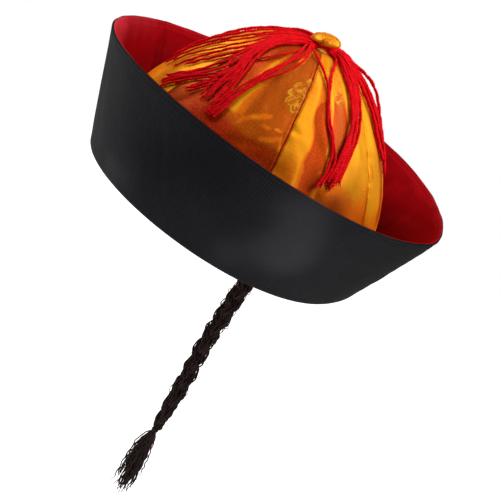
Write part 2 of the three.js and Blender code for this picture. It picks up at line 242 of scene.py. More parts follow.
LINING_CREASES = [
    (-72, 72, -74, 12, 0.9, 3),
    (-76, 72, -78, 16, -0.7, 5),
    (-96, 72, -93, 8, 0.7, 3.5),
    (-64, 70, -60, 20, -0.5, 6),
    (112, 71, 136, 52, -0.6, 2.6),
    (118, 71, 142, 40, 0.5, 4),
    (146, 60, 158, 18, 0.5, 8),
    (178, 66, 184, 12, -0.6, 8),
    (206, 64, 214, 20, 0.6, 6),
    (232, 60, 236, 16, -0.5, 6),
    (20, 60, 28, 16, 0.6, 6),
    (62, 66, 58, 20, -0.6, 6),
]

# Painted sheen and painted shade on the cover's cloth, where its folds face the light or turn from it,
# in the same form: how much lighter and how wide
COVER_SHADES = [
    (-72, -20, -76, 90, -0.85, 58),
    (-20, 8, -10, 12, 0.5, 12),
    (-4, 30, 14, 54, -0.5, 26),
    (44, 60, 52, 32, 0.9, 18),
    (34, 14, 44, 28, 0.5, 14),
    (94, -20, 94, 90, -0.9, 52),
]

# Folds of the lining that face the light, in the same form: how bright and how wide
LINING_FACETS = [
    (-50, 0, -50, 72, 1, 46),
    (-84, 0, -85, 72, 0.34, 20),
    (-130, 60, -126, 72, 0.12, 16),
    (128, 50, 132, 72, 0.1, 26),
]

# Where the cloth's figures sit on each gore: how far the pattern is moved, right and down
FIGURE_SHIFTS = [(31.5, 54), (1, 32), (12, 50), (-9, 44), (18, 62), (34, 96)]
FIGURE_PITCH = (66, 128)

# How the shot cloth turns on each gore, partly its own yellow weft and red warp and partly painted
# light: 0 where its yellow weft faces the light, up to 1 where its dark red warp shows in painted
# shade and a painted reflection of the red lining, down to -1 where a painted sheen makes the warp
# glow orange and to -3 where it is painted dull, as if turned from the light. Then streaks of more
# or less of it, painted highlights and shade among them: from an angle and a distance from the top
# to another, how much and how wide
GORE_TONES = [0.53, 0.09, 0.0, 0.35, 0.22, 0.05]
TONE_STREAKS = [
    (50, 60, 51, 130, -1, 6),
    (47, 38, 52, 90, -0.6, 7),
    (64, 20, 64, 44, -0.4, 8),
    (64, 50, 64, 82, -2.2, 8),
    (62, 114, 104, 128, 0.22, 13),
    (13, 20, 14, 32, -0.6, 4),
    (-14, 26, -8, 66, 0.34, 12),
    (-6, 74, -2, 100, 0.3, 12),
    (-22, 104, -12, 116, -0.14, 8),
    (1, 54, 3, 86, -0.3, 9),
    (-62, 60, -66, 118, 0.4, 8),
    (112, 60, 116, 120, 0.5, 9),
    (136, 46, 132, 110, 0.35, 10),
    (172, 50, 168, 120, 0.3, 10),
    (196, 60, 200, 116, -0.25, 9),
    (226, 50, 230, 118, 0.45, 8),
    (262, 56, 258, 116, 0.4, 10),
]

# Painted glints, and painted shade along crease lines, in the same form
TONE_GLINTS = [
    (11, 92, 14, 87, -0.26, 2.6),
    (14, 86, 20, 80, -0.3, 1.7),
    (21, 87, 23, 87, -0.26, 1.4),
    (24, 96, 29, 90, -0.36, 1.5),
    (27, 85, 31, 84, -0.5, 0.8),
    (31, 88, 32, 97, -0.5, 1.1),
    (7, 97, 11, 94, -0.2, 1.6),
    (1, 35, 1, 62, -0.32, 2),
    (4, 66, 4, 90, -0.42, 1.2),
    (16, 48, 18, 52, -0.16, 2),
    (52, 93, 53, 96, 0.6, 1.8),
    (56, 81, 57, 85, 0.6, 1.5),
    (80, 74, 82, 80, -0.1, 5),
    (96, 86, 97, 92, 0.3, 1.6),
    (-25, 62, -36, 85, 0.5, 1),
    (-36, 85, -42, 88, 0.5, 1),
    (-36, 70, -37, 90, 0.16, 2),
]

# Soft shade on the crown in the same form, how dark instead of how much
CROWN_SHADES = [
    (34, 104, 64, 110, 0.54, 15),
    (64, 118, 90, 124, 0.4, 14),
    (26, 52, 32, 72, 0.28, 8),
    (38, 46, 44, 86, 0.42, 9),
    (68, 84, 78, 96, 0.2, 14),
    (64, 60, 63, 84, 0.3, 8),
    (-34, 108, -14, 112, 0.6, 12),
    (-31, 70, -22, 84, 0.35, 8),
]

# Rings of scallops that draw a figure: their radius in metres, how many scallops, how deep they
# are and how far they are turned
FIGURE_RINGS = [
    (0.0158, 12, 0.14, 0.0),
    (0.0138, 12, 0.18, 0.5),
    (0.0112, 7, 0.26, 0.8),
    (0.0086, 7, 0.34, 0.2),
    (0.0058, 5, 0.36, 0.6),
    (0.0031, 4, 0.4, 0.0),
]

# Cloths and yarns, in metres: how far apart their threads and ribs are, and how deep their relief is
COVER_WEFT_PITCH = 0.0007
COVER_RELIEF = 0.00022
SATIN_WARP_PITCH = 0.0005
SATIN_WEFT_PITCH = 0.0006
SATIN_RELIEF = 0.00006
BROCADE_WARP_PITCH = 0.00055
BROCADE_RIB_PITCH = 0.0013
BROCADE_RELIEF = 0.00014
BACK_WEFT_PITCH = 0.0006
BACK_RELIEF = 0.0002
YARN_RELIEF = 0.00025
FIGURE_LINE = (0.0003, 0.001)
FIGURE_BEND = 0.009

# Colours of deep shade: in the lining, and a tint laid over the crown
LINING_DARK = (0.02, 0.0002, 0.0004, 1)
CROWN_SHADE_TINT = (0.3, 0.24, 0.15, 1)

# Runs of yarn: places on the crown as an angle and a distance from its top, then how many yarns,
# how far they spread at the end, how high they arch off the cloth and at what distance
YARN_RUNS = [
    ([(5, 12), (25, 20), (42, 34), (47, 43), (51, 64), (58, 80), (57, 97), (54, 107)], 1, 0, 0, 40),
    ([(85, 13), (54, 27), (50, 38), (50, 56), (57, 74), (60, 88), (56, 105)], 1, 0, 0, 40),
    ([(100, 13), (77, 26), (75, 41), (73, 60), (65, 80), (61, 99)], 2, 1.5, 0, 40),
    ([(112, 13), (88, 28), (80, 46), (69, 70), (62, 90), (60, 103)], 3, 4, 0, 40),
    ([(128, 14), (98, 31), (84, 49), (75, 68), (66, 88), (64, 99)], 3, 5, 0, 40),
    ([(140, 16), (112, 36), (106, 54), (109, 72), (114, 84)], 2, 2, 0.8, 45),
    ([(150, 18), (118, 44), (115, 66), (119, 82), (122, 96)], 3, 3, 1.6, 45),
    ([(146, 20), (134, 43), (128, 56), (124, 68), (122, 86)], 1, 0, 5.2, 40),
    ([(162, 20), (150, 44), (146, 66), (148, 86)], 3, 9, 2.4, 36),
    ([(184, 20), (172, 46), (168, 72), (163, 100)], 4, 12, 1.6, 34),
    ([(204, 20), (194, 50), (190, 78), (194, 104)], 4, 12, 0.6, 34),
    ([(226, 20), (218, 52), (214, 78), (212, 98)], 4, 13, 0.3, 34),
    ([(244, 20), (240, 48), (236, 74), (232, 97)], 3, 11, 0.3, 34),
    ([(254, 20), (252, 48), (254, 78), (252, 102)], 3, 9, 0.3, 56),
    ([(258, 14), (256, 24), (270, 45), (280, 68), (286, 92), (290, 104)], 2, 3, 1.2, 52),
    ([(270, 14), (302, 32), (308, 48), (305, 64), (299, 87), (297, 99)], 2, 3, 0.3, 56),
    ([(284, 15), (314, 36), (316, 50), (312, 66), (306, 88), (304, 98)], 1, 0, 0.2, 40),
    ([(288, 13), (318, 32), (322, 47), (320, 59), (313, 78), (308, 105)], 1, 0, 0.2, 40),
    ([(304, 11), (324, 34), (328, 46), (326, 59), (319, 76), (310, 102)], 1, 0, 0, 40),
    ([(315, 10), (328, 31), (333, 48), (337, 63), (336, 75), (332, 92), (324, 109)], 2, 1.8, 0, 40),
    ([(325, 10), (331, 32), (336, 48), (341, 61), (342, 72), (335, 90), (326, 109)], 2, 1.8, 0, 40),
    ([(330, 11), (334, 33), (341, 55), (346, 67), (346, 77), (337, 92), (327, 112)], 2, 2, 0, 40),
    ([(336, 13), (337, 35), (342, 54), (348, 69), (348, 81), (339, 101)], 3, 4, 0, 40),
    ([(344, 14), (340, 38), (342, 56), (347, 69), (348, 84), (350, 99)], 3, 6, 0, 40),
    ([(347, 14), (341, 39), (345, 57), (352, 73), (353, 87), (354, 97)], 2, 4, 0, 40),
    ([(340, 12), (346, 20), (341, 40), (346, 56), (354, 76), (357, 95)], 2, 3, 0, 40),
    ([(353, 15), (0, 30), (353, 48), (348, 59), (352, 75), (354, 93)], 1, 0, 0, 40),
    ([(348, 12), (5, 28), (5, 47), (1, 65), (359, 82), (357, 103)], 2, 2, 0, 40),
    ([(356, 13), (10, 29), (6, 49), (2, 68), (0, 86), (358, 104)], 2, 2, 0, 40),
    ([(8, 14), (16, 28), (11, 46), (5, 66), (2, 84), (0, 104)], 1, 0, 0, 40),
    ([(318, 10), (324, 29), (331, 54), (324, 76), (318, 99)], 1, 0, 0, 40),
    ([(322, 10), (332, 38), (334, 56), (330, 72), (323, 93)], 1, 0, 0, 40),
    ([(328, 12), (335, 44), (339, 66), (344, 80), (342, 97)], 1, 0, 0, 40),
]

# Groups of those runs: the side they lie on, the first and the one after the last, and how thick
# their yarns are, as a share of the yarn radius in the panel
TASSEL_GROUPS = [
    ("right", 0, 9, 0.9),
    ("back", 9, 14, 0.9),
    ("left", 14, len(YARN_RUNS), 0.65),
]


def lerp(start, end, share):
    return start + (end - start) * share


def smooth(start, end, value):
    """0 up to the start, 1 from the end on, and a soft slope between them"""
    share = np.clip((value - start) / (end - start), 0, 1)
    return share * share * (3 - 2 * share)


def bell(value, centre, width):
    """1 at the centre and softly down to 0 on both sides"""
    return np.exp(-(((value - centre) / width) ** 2))


def points_at(x, y, z):
    """Points from their coordinates, each of them one value or many"""
    return np.stack(np.broadcast_arrays(x, y, z), -1)


def soft_noise(x, y, seed):
    """Smooth values from -1 to 1 over a plane, about one rise or fall to a unit; the seed picks
    which of them, the same on each run"""
    size = 64
    table = np.random.default_rng(seed).uniform(-1, 1, (size, size))
    column = np.floor(x).astype(int)
    row = np.floor(y).astype(int)
    across = smooth(0, 1, x - column)
    up = smooth(0, 1, y - row)

    def corner(right, above):
        return table[(column + right) % size, (row + above) % size]

    low = lerp(corner(0, 0), corner(1, 0), across)
    high = lerp(corner(0, 1), corner(1, 1), across)
    return lerp(low, high, up)


def unit(vectors):
    return vectors / np.linalg.norm(vectors, axis=-1, keepdims=True)


def fold_depth(folds, angle, height, radius, edge=2):
    """The depth of all folds at places; a higher edge gives them steeper sides"""
    depth = 0
    per_degree = math.radians(radius)
    for at, low, to, high, deep, wide in folds:
        run_x = (to - at) * per_degree
        run_y = high - low
        at_x = ((angle - at + 180) % 360 - 180) * per_degree
        at_y = height - low
        share = np.clip((at_x * run_x + at_y * run_y) / (run_x**2 + run_y**2), 0, 1)
        away = np.hypot(at_x - share * run_x, at_y - share * run_y) / wide
        depth = depth + deep * np.exp(-(away**edge))
    return depth


# Brim


def plan_point(angle, half_width, half_depth, squareness):
    turn = np.radians(angle)
    forward = np.cos(turn)
    reach = np.sign(forward) * np.abs(forward) ** squareness
    return points_at(half_width * np.sin(turn), -half_depth * reach, 0.0)


def edge_height(angle):
    return EDGE_SADDLE * np.cos(2 * np.radians(angle))


def seam_swell(angle):
    turned = np.abs((angle + 180) % 360 - 180)
    return SEAM_SWELL * bell(turned, BRIM_SEAM_ANGLE, SEAM_SWELL_WIDTH)


def brim_face(angle, height):
    low = plan_point(angle, EDGE_HALF_WIDTH, EDGE_HALF_DEPTH, EDGE_SQUARENESS)
    low[..., 2] = edge_height(angle)
    radius = RIM_RADIUS + seam_swell(angle)
    high = plan_point(angle, radius, radius, RIM_SQUARENESS)
    turn = np.radians(angle)
    high[..., 2] = BRIM_HEIGHT + RIM_SADDLE * np.cos(2 * turn) + RIM_FRONT_RISE * np.cos(turn)
    return lerp(low, high, np.asarray(height)[..., None] / BRIM_HEIGHT)


def brim_point(angle, inset, height):
    along = brim_face(angle + 1, height) - brim_face(angle - 1, height)
    outward = points_at(along[..., 1], -along[..., 0], 0.0)
    return brim_face(angle, height) - unit(outward) * np.asarray(inset)[..., None]


# Crown


def crown_outline(angle, height):
    rise = np.clip(height / CROWN_HEIGHT, 0, 1)
    across = np.abs(np.sin(np.radians(angle))) / CROWN_HALF_WIDTH
    along = np.abs(np.cos(np.radians(angle))) / CROWN_HALF_DEPTH
    plan = (across**CROWN_PLAN_POWER + along**CROWN_PLAN_POWER) ** (-1 / CROWN_PLAN_POWER)
    bulge = 1 + CROWN_BULGE * np.sin(np.pi * rise)
    return plan * bulge * (1 - rise**CROWN_SHOULDER_POWER) ** (1 / CROWN_TOP_POWER)


def crown_height(angle, rise):
    foot = COVER_THICKNESS + GAP + edge_height(angle)
    return lerp(foot, CROWN_HEIGHT, np.sin(rise * np.pi / 2))


def crown_radius(angle, rise):
    height = crown_height(angle, rise)
    fade = np.sin(np.pi * np.clip(rise, 0, 1)) ** 0.7
    seam_shape = np.abs(np.cos(np.radians(angle - GORE_TURN) * GORE_COUNT / 2)) ** 0.8
    folds = fold_depth(CROWN_FOLDS, angle, height, CROWN_HALF_WIDTH)
    return crown_outline(angle, height) + (GORE_PUFF * (seam_shape - 0.5) - folds) * fade


def crown_face(angle, rise):
    radius = crown_radius(angle, rise)
    height = crown_height(angle, rise)
    share = height / CROWN_HEIGHT
    turn = np.radians(angle)
    x = radius * np.sin(turn) + CROWN_LEAN[0] * share
    y = -radius * np.cos(turn) + CROWN_LEAN[1] * share
    return points_at(x, y, height)


def crown_outward(angle, rise):
    turn = np.radians(angle)
    around = points_at(np.cos(turn), np.sin(turn), 0.0)
    up = crown_face(angle, np.minimum(rise + 0.01, 1)) - crown_face(angle, rise - 0.01)
    return unit(np.cross(around, up))


RISES = np.linspace(1, 0, 600)
MERIDIAN = crown_face(np.full(600, 45.0), RISES)
DISTANCES = np.concatenate([[0], np.cumsum(np.linalg.norm(np.diff(MERIDIAN, axis=0), axis=1))])


def rise_at(distance):
    """How far up the crown a point lies that is a distance from the top, over the cloth"""
    return np.interp(distance, DISTANCES, RISES)


def distance_at(rise):
    return np.interp(-rise, -RISES, DISTANCES)


# Meshes


def nothing_selected():
    bpy.ops.object.select_all(action="DESELECT")


def keep_modifier(piece, kind, **settings):
    """Gives the piece a modifier and applies it"""
    added = piece.modifiers.new(kind.title(), kind)
    for name, value in settings.items():
        setattr(added, name, value)
    bpy.context.view_layer.objects.active = piece
    bpy.ops.object.modifier_apply(modifier=added.name)


def smooth_shading(piece, angle=50):
    nothing_selected()
    piece.select_set(True)
    bpy.context.view_layer.objects.active = piece
    bpy.ops.object.shade_smooth_by_angle(angle=math.radians(angle))


def points_of(piece):
    flat = np.empty(len(piece.data.vertices) * 3)
    piece.data.vertices.foreach_get("co", flat)
    return flat.reshape(-1, 3)


def set_points(piece, points):
    piece.data.vertices.foreach_set("co", np.ascontiguousarray(points, dtype=float).ravel())
    piece.data.update()


def joined(name, parts):
    nothing_selected()
    for part in parts:
        part.select_set(True)
    bpy.context.view_layer.objects.active = parts[0]
    bpy.ops.object.join()
    parts[0].name = name
    parts[0].data.name = name
    return parts[0]


def finished(piece, looks, nodes):
    """Gives a piece its materials, hides the model's parts that it stands for and attaches it to the
    root body
    """
    slots = piece.data.materials
    for index, look in enumerate(looks):
        if index < len(slots):
            slots[index] = look
        else:
            slots.append(look)
    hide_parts(*nodes)
    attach(piece, "root")


def lay_pattern(piece, places):
    """Gives each of the piece's points its place on the flat cloth, in millimetres"""
    corner = np.empty(len(piece.data.loops), dtype=int)
    piece.data.loops.foreach_get("vertex_index", corner)
    piece.data.uv_layers.active.data.foreach_set("uv", (places * MM)[corner].ravel())


def paint(piece, name, values):
    """Keeps a value at each of the piece's points, for its material"""
    piece.data.attributes.new(name, "FLOAT", "POINT").data.foreach_set("value", values)


def laid_cloth(name, columns, rows, place, pattern, **painted):
    """A flat piece of cloth is cut and thickened, then each point is laid on the hat.
    place takes a point's share across, its share up and its share into the thickness. pattern
    and what is painted take the first two of these."""
    nothing_selected()
    bpy.ops.mesh.primitive_grid_add(
        x_subdivisions=columns, y_subdivisions=rows, size=1, location=(0.5, 0.5, 0)
    )
    piece = bpy.context.object
    bpy.ops.object.transform_apply(location=True, rotation=True, scale=True)
    piece.name = name
    piece.data.name = name
    for _ in range(2):
        piece.data.materials.append(None)
    keep_modifier(piece, "SOLIDIFY", thickness=1, offset=-1, material_offset=1)
    flat = points_of(piece)
    shares = np.clip(flat, 0, 1)
    shares[:, 2] = np.clip(-flat[:, 2], 0, 1)
    across, up, depth = shares.T
    lay_pattern(piece, pattern(across, up))
    set_points(piece, place(across, up, depth) * MM)
    for paint_name, value in painted.items():
        paint(piece, paint_name, value(across, up))
    smooth_shading(piece)
    return piece


def straight_yarn(name, plies, turns, steps_per_turn, sides):
    """A straight twisted yarn of radius 1 along Z from 0 to 1, closed at both ends"""
    nothing_selected()
    bpy.ops.mesh.primitive_circle_add(vertices=plies * sides, radius=1, location=(0, 0, 0))
    yarn = bpy.context.object
    yarn.name = name
    for vertex in yarn.data.vertices:
        if plies > 1 and vertex.index % sides == 0:
            vertex.co *= PLY_GROOVE
    keep_modifier(
        yarn,
        "SCREW",
        angle=2 * math.pi,
        screw_offset=1 / turns,
        iterations=turns,
        steps=steps_per_turn,
        render_steps=steps_per_turn,
        use_normal_calculate=True,
    )
    bpy.ops.object.mode_set(mode="EDIT")
    bpy.ops.mesh.select_all(action="DESELECT")
    bpy.ops.mesh.select_non_manifold()
    bpy.ops.mesh.edge_face_add()
    bpy.ops.mesh.select_all(action="SELECT")
    bpy.ops.mesh.normals_make_consistent(inside=False)
    bpy.ops.object.mode_set(mode="OBJECT")
    for polygon in yarn.data.polygons:
        polygon.use_smooth = len(polygon.vertices) == 4
    return yarn


def ends_filled(yarn):
    return sum(len(polygon.vertices) > 4 for polygon in yarn.data.polygons) == 2


def side_frames(path):
    """Two directions square to a path at each of its points, without twisting round it"""
    ahead = unit(np.gradient(path, axis=0))
    slanted = (0.31, 0.52, 0.79)
    side = np.cross(ahead[0], slanted)
    sides = []
    for direction in ahead:
        side = side - direction * side.dot(direction)
        side = side / np.linalg.norm(side)
        sides.append(side)
    sides = np.array(sides)
    return sides, np.cross(ahead, sides)


def yarn_along(yarn, path, radius):
    """A copy of a straight yarn, laid along a path with a radius at each of its points"""
    piece = bpy.data.objects.new(yarn.name, yarn.data.copy())
    bpy.context.collection.objects.link(piece)
    straight = points_of(yarn)
    count = int(round(1 / np.diff(np.unique(straight[:, 2].round(5))).min())) + 1
    shares = np.linspace(0, 1, len(path))
    stations = np.linspace(0, 1, count)
    line = np.stack([np.interp(stations, shares, path[:, axis]) for axis in range(3)], -1)
    thick = np.interp(stations, shares, np.broadcast_to(radius, len(path)))
    sides, ups = side_frames(line)
    at = np.rint(straight[:, 2] * (count - 1)).astype(int)
    moved = straight[:, :1] * sides[at] + straight[:, 1:2] * ups[at]
    set_points(piece, (line[at] + moved * thick[at, None]) * MM)
    return piece


def curve_through(places, count):
    """Points on a smooth curve through places, evenly spaced"""
    places = np.array(places, dtype=float)
    ends = np.concatenate([[2 * places[0] - places[1]], places, [2 * places[-1] - places[-2]]])
    steps = 24
    curve = []
    for k in range(1, len(ends) - 2):
        for share in np.linspace(0, 1, steps, endpoint=False):
            before, start, end, after = ends[k - 1 : k + 3]
            slope = (end - before) / 2
            last = (after - start) / 2
            change = end - start
            curve.append(
                start
                + slope * share
                + (3 * change - 2 * slope - last) * share**2
                + (slope + last - 2 * change) * share**3
            )
    curve = np.array(curve + [places[-1]])
    walked = np.concatenate([[0], np.cumsum(np.linalg.norm(np.diff(curve, axis=0), axis=1))])
    even = np.linspace(0, walked[-1], count)
    return np.stack([np.interp(even, walked, curve[:, axis]) for axis in range(len(curve[0]))], -1)


def length_of(path):
    return float(np.linalg.norm(np.diff(path, axis=0), axis=1).sum())


# Materials


class Wire:
    """An output of a material's node. Maths on it adds Math nodes."""

    def __init__(self, look, socket):
        self.look = look
        self.socket = socket

    def __add__(self, other):
        return self.look.maths("ADD", self, other)

    __radd__ = __add__

    def __sub__(self, other):
        return self.look.maths("SUBTRACT", self, other)

    def __rsub__(self, other):
        return self.look.maths("SUBTRACT", other, self)

    def __mul__(self, other):
        return self.look.maths("MULTIPLY", self, other)

    __rmul__ = __mul__

    def __truediv__(self, other):
        return self.look.maths("DIVIDE", self, other)

    def __pow__(self, power):
        return self.look.maths("POWER", self, power)

    def __abs__(self):
        return self.look.maths("ABSOLUTE", self)

    def __mod__(self, other):
        return self.look.maths("FLOORED_MODULO", self, other)

    def sine(self):
        return self.look.maths("SINE", self)

    def floor(self):
        return self.look.maths("FLOOR", self)

    def atan2(self, other):
        return self.look.maths("ARCTAN2", self, other)

    def most(self, other):
        return self.look.maths("MAXIMUM", self, other)

    def between(self, low, high):
        """0 up to low, 1 from high on"""
        settings = {"interpolation_type": "SMOOTHSTEP", "clamp": True}
        return self.look.node("ShaderNodeMapRange", settings, {0: self, 1: low, 2: high})


class Look:
    """A material and its nodes"""

    def __init__(self, name):
        self.material = bpy.data.materials.new(name)
        self.material.use_nodes = True
        self.tree = self.material.node_tree
        self.tree.nodes.clear()

    def node(self, kind, settings=None, inputs=None, out=0):
        made = self.tree.nodes.new(kind)
        for name, value in (settings or {}).items():
            setattr(made, name, value)
        for name, value in (inputs or {}).items():
            if isinstance(value, Wire):
                self.tree.links.new(value.socket, made.inputs[name])
            else:
                made.inputs[name].default_value = value
        return Wire(self, made.outputs[out]) if made.outputs else None

    def maths(self, operation, *values):
        return self.node("ShaderNodeMath", {"operation": operation}, dict(enumerate(values)))

    def mix(self, share, first, second, blend="MIX"):
        inputs = {0: share, 6: first, 7: second}
        return self.node("ShaderNodeMix", {"data_type": "RGBA", "blend_type": blend}, inputs, out=2)

    def painted(self, name):
        """A value kept at each of the mesh's points"""
        return self.node("ShaderNodeAttribute", {"attribute_name": name}, out="Fac")

    def place(self, kind):
        return self.node("ShaderNodeTexCoord", out=kind)

    def axes(self, vector):
        first = self.node("ShaderNodeSeparateXYZ", inputs={0: vector})
        return [Wire(self, socket) for socket in first.socket.node.outputs]

    def noise(self, vector, scale, detail=2, roughness=0.5):
        inputs = {"Vector": vector, "Scale": scale, "Detail": detail, "Roughness": roughness}
        return self.node("ShaderNodeTexNoise", inputs=inputs)

    def stretched(self, vector, scale):
        return self.node("ShaderNodeMapping", inputs={"Vector": vector, "Scale": scale})

    def bump(self, height, distance):
        """A height from 0 to 1 raises the surface by up to a distance in metres"""
        inputs = {"Height": height, "Distance": distance, "Strength": 1}
        return self.node("ShaderNodeBump", inputs=inputs)

    def surface(self, **sockets):
        """Ends the material in a Principled shader whose sockets are named with underscores"""
        inputs = {name.replace("_", " "): value for name, value in sockets.items()}
        shader = self.node("ShaderNodeBsdfPrincipled", inputs=inputs)
        self.node("ShaderNodeOutputMaterial", inputs={"Surface": shader})
        return self.material


def ridges(wire, pitch):
    """Even ridges from 0 to 1 along a coordinate"""
    return (wire * (2 * math.pi / pitch)).sine() * 0.5 + 0.5


def scaled(colour, share):
    """A colour with each of its values times a share, with its alpha"""
    return [min(share * value, 1) for value in colour] + [1]


def black_cloth(settings):
    look = Look("black_cloth")
    cloth = look.place("UV")
    across, up, _ = look.axes(cloth)
    wander = look.noise(cloth, 60) * 0.0012
    rib = ridges(across + wander, settings.rib_pitch)
    thread = ridges(up, COVER_WEFT_PITCH)
    uneven = look.noise(look.stretched(cloth, (1, 0.12, 1)), 900)
    worn = look.noise(cloth, 26, 3)
    shown = look.painted("tone")
    shade = rib * 0.3 + uneven * 0.4 + worn * 0.35
    # A painted sheen where the painted tone is above 0 and a painted shade where it is below 0
    dark, light, painted_sheen, dull = (
        scaled(settings.cover_colour, share) for share in (0.55, 1.7, 2.6, 0.3)
    )
    plain = look.mix(shade.between(0.2, 0.95), dark, light)
    lit = look.mix(shown.between(0, 1), plain, painted_sheen)
    height = rib * 0.42 + thread * 0.14 + uneven * 0.3
    return look.surface(
        Base_Color=look.mix(shown.between(0, -1.1), lit, dull),
        Roughness=worn * 0.12 + 0.56 - shown * 0.24,
        Normal=look.bump(height, COVER_RELIEF),
        Specular_IOR_Level=0.04,
    )


def red_satin(settings):
    look = Look("red_satin")
    cloth = look.place("UV")
    across, up, _ = look.axes(cloth)
    thread = ridges(across, SATIN_WARP_PITCH) * 0.5 + ridges(up, SATIN_WEFT_PITCH) * 0.5
    slub = look.noise(look.stretched(cloth, (0.06, 1, 1)), 1400)
    cloud = look.noise(cloth, 30, 3)
    shown = look.painted("tone")
    deep = scaled(settings.lining_colour, 0.8)
    bright = scaled(settings.lining_colour, 1.25)
    ground = look.mix((slub * 0.5 + cloud * 0.5).between(0.25, 0.75), deep, bright)
    # Painted sheen on the folds that face the light, and painted shade where the tone is below 0, deep
    # in the brim
    lit = look.mix(shown, ground, scaled(settings.lining_sheen, 1))
    return look.surface(
        Base_Color=look.mix(shown.between(0, -1), lit, LINING_DARK),
        Roughness=cloud * 0.14 + 0.42,
        Metallic=0.3,
        Normal=look.bump(thread * 0.6 + slub * 0.4, SATIN_RELIEF),
        Specular_IOR_Level=0.01,
    )


def scallops(radius, turn, reach, count, depth, phase):
    """How far a point is from a ring of scallops, in metres"""
    lobe = abs((turn * (count / 2) + phase).sine())
    return abs(radius - reach * ((1 - depth) + lobe * depth))


def figures(look, cloth):
    """Round scrolled clouds in lines, from 0 off them to 1 on them"""
    bent = look.noise(cloth, 130)
    wide, high = (pitch * MM for pitch in FIGURE_PITCH)
    across, up, _ = look.axes(cloth)
    row = (up / high + 0.5).floor()
    x = (across / wide + (row % 2) * 0.5 + 0.5) % 1 * wide - wide / 2
    y = (up / high + 0.5) % 1 * high - high / 2
    radius = (x * x + y * y) ** 0.5 + (bent - 0.5) * FIGURE_BEND
    turn = y.atan2(x)
    lines = 0
    for reach, count, depth, phase in FIGURE_RINGS:
        line = 1 - scallops(radius, turn, reach, count, depth, phase).between(*FIGURE_LINE)
        lines = line.most(lines) if lines else line
    worn = look.noise(cloth, 240).between(0.36, 0.6)
    glints = look.noise(cloth, 1500, 1).between(0.54, 0.64) * (1 - radius.between(0.01, 0.019))
    return lines * worn + (1 - lines) * glints * 0.9


def gold_brocade(settings):
    """Shot satin: yellow where its weft faces the light, copper and red where its warp shows. Its
    painted tone adds painted sheen, glints, shade and a painted reflection of the red lining, and its
    painted shade darkens it
    """
    look = Look("gold_brocade")
    cloth = look.place("UV")
    across, up, _ = look.axes(cloth)
    figure = figures(look, cloth)
    thread = ridges(across, BROCADE_WARP_PITCH)
    slub = look.noise(look.stretched(cloth, (0.08, 1, 1)), 1300)
    cloud = look.noise(cloth, 34, 3)
    wander = look.noise(cloth, 50, 1) * 0.0015
    rib = ridges(up + wander, BROCADE_RIB_PITCH) * cloud.between(0.42, 0.62)
    shown = look.painted("tone")
    mottle = look.noise(cloth, 420, 3, 0.65)
    tone = shown + (slub - 0.5) * 0.2 + (cloud - 0.5) * 0.2 + (mottle - 0.5) * 0.24 + rib * 0.07
    figure = figure * abs(shown).between(0.12, 0.4)
    ground = scaled(settings.brocade_colour, 1)
    # Each colour covers the ones before it as the tone goes from its first value to its second
    turns = [
        (-0.02, -0.4, settings.orange_colour, 1),
        (-0.4, -0.75, settings.glow_colour, 1),
        (-1.8, -2.4, settings.dusk_colour, 1),
        (0.04, 0.3, settings.orange_colour, 1),
        (0.3, 0.52, settings.copper_colour, 1),
        (0.58, 0.76, settings.glow_colour, 0.9),
        (0.78, 1.0, settings.warp_and_shade_colour, 1),
    ]
    for low, high, colour, share in turns:
        ground = look.mix(tone.between(low, high), ground, scaled(colour, share))
    height = figure * 0.6 + rib * 0.14 + thread * 0.1 + slub * 0.16
    # Golden flecks of the weft with painted glints, where the painted tone is partway
    fleck_and_glint = look.noise(cloth, 1100, 2, 0.6).between(0.46, 0.66) * abs(shown).between(0.1, 0.35)
    lit = look.mix(fleck_and_glint * 0.15 + figure * 0.68, ground, scaled(settings.figure_colour, 1))
    return look.surface(
        Base_Color=look.mix(look.painted("shade"), lit, CROWN_SHADE_TINT, "MULTIPLY"),
        Roughness=figure * 0.12 + cloud * 0.14 + 0.3,
        Metallic=0.36 - figure * 0.2,
        Normal=look.bump(height, BROCADE_RELIEF),
        Specular_IOR_Level=0.1,
        Specular_Tint=(1, 0.5, 0.12, 1),
    )


def brocade_back(settings):
    """The wrong side of the brocade, seen inside the crown"""
    look = Look("brocade_back")
    cloth = look.place("UV")
    _, up, _ = look.axes(cloth)
    figure = figures(look, cloth)
    floats = look.noise(look.stretched(cloth, (0.05, 1, 1)), 1500)
    thread = ridges(up, BACK_WEFT_PITCH)
    dull = scaled(settings.brocade_colour, 0.55)
    pale = scaled(settings.figure_colour, 0.8)
    return look.surface(
        Base_Color=look.mix(figure * 0.4 + floats * 0.5, pale, dull),
        Roughness=floats * 0.15 + 0.6,
        Normal=look.bump(thread * 0.3 + floats * 0.4 + figure * 0.3, BACK_RELIEF),
    )


def yarn_look(name, colour, roughness, sheen, tint, spread):
    """Soft spun yarn: fibres that lie unevenly and catch the light"""
    look = Look(name)
    place = look.place("Object")
    fibre = look.noise(place, 2600, 2, 0.7)
    fuzz = fibre * 0.6 + look.noise(place, 420, 2, 0.6) * 0.4
    dark = scaled(colour, 0.6)
    light = scaled(colour, spread)
    return look.surface(
        Base_Color=look.mix(fuzz.between(0.32, 0.62), dark, light),
        Roughness=fibre * 0.15 + roughness,
        Normal=look.bump(fuzz, YARN_RELIEF),
        Specular_IOR_Level=0.04,
        Sheen_Weight=sheen,
        Sheen_Roughness=0.5,
        Sheen_Tint=tint,
    )


# Pieces


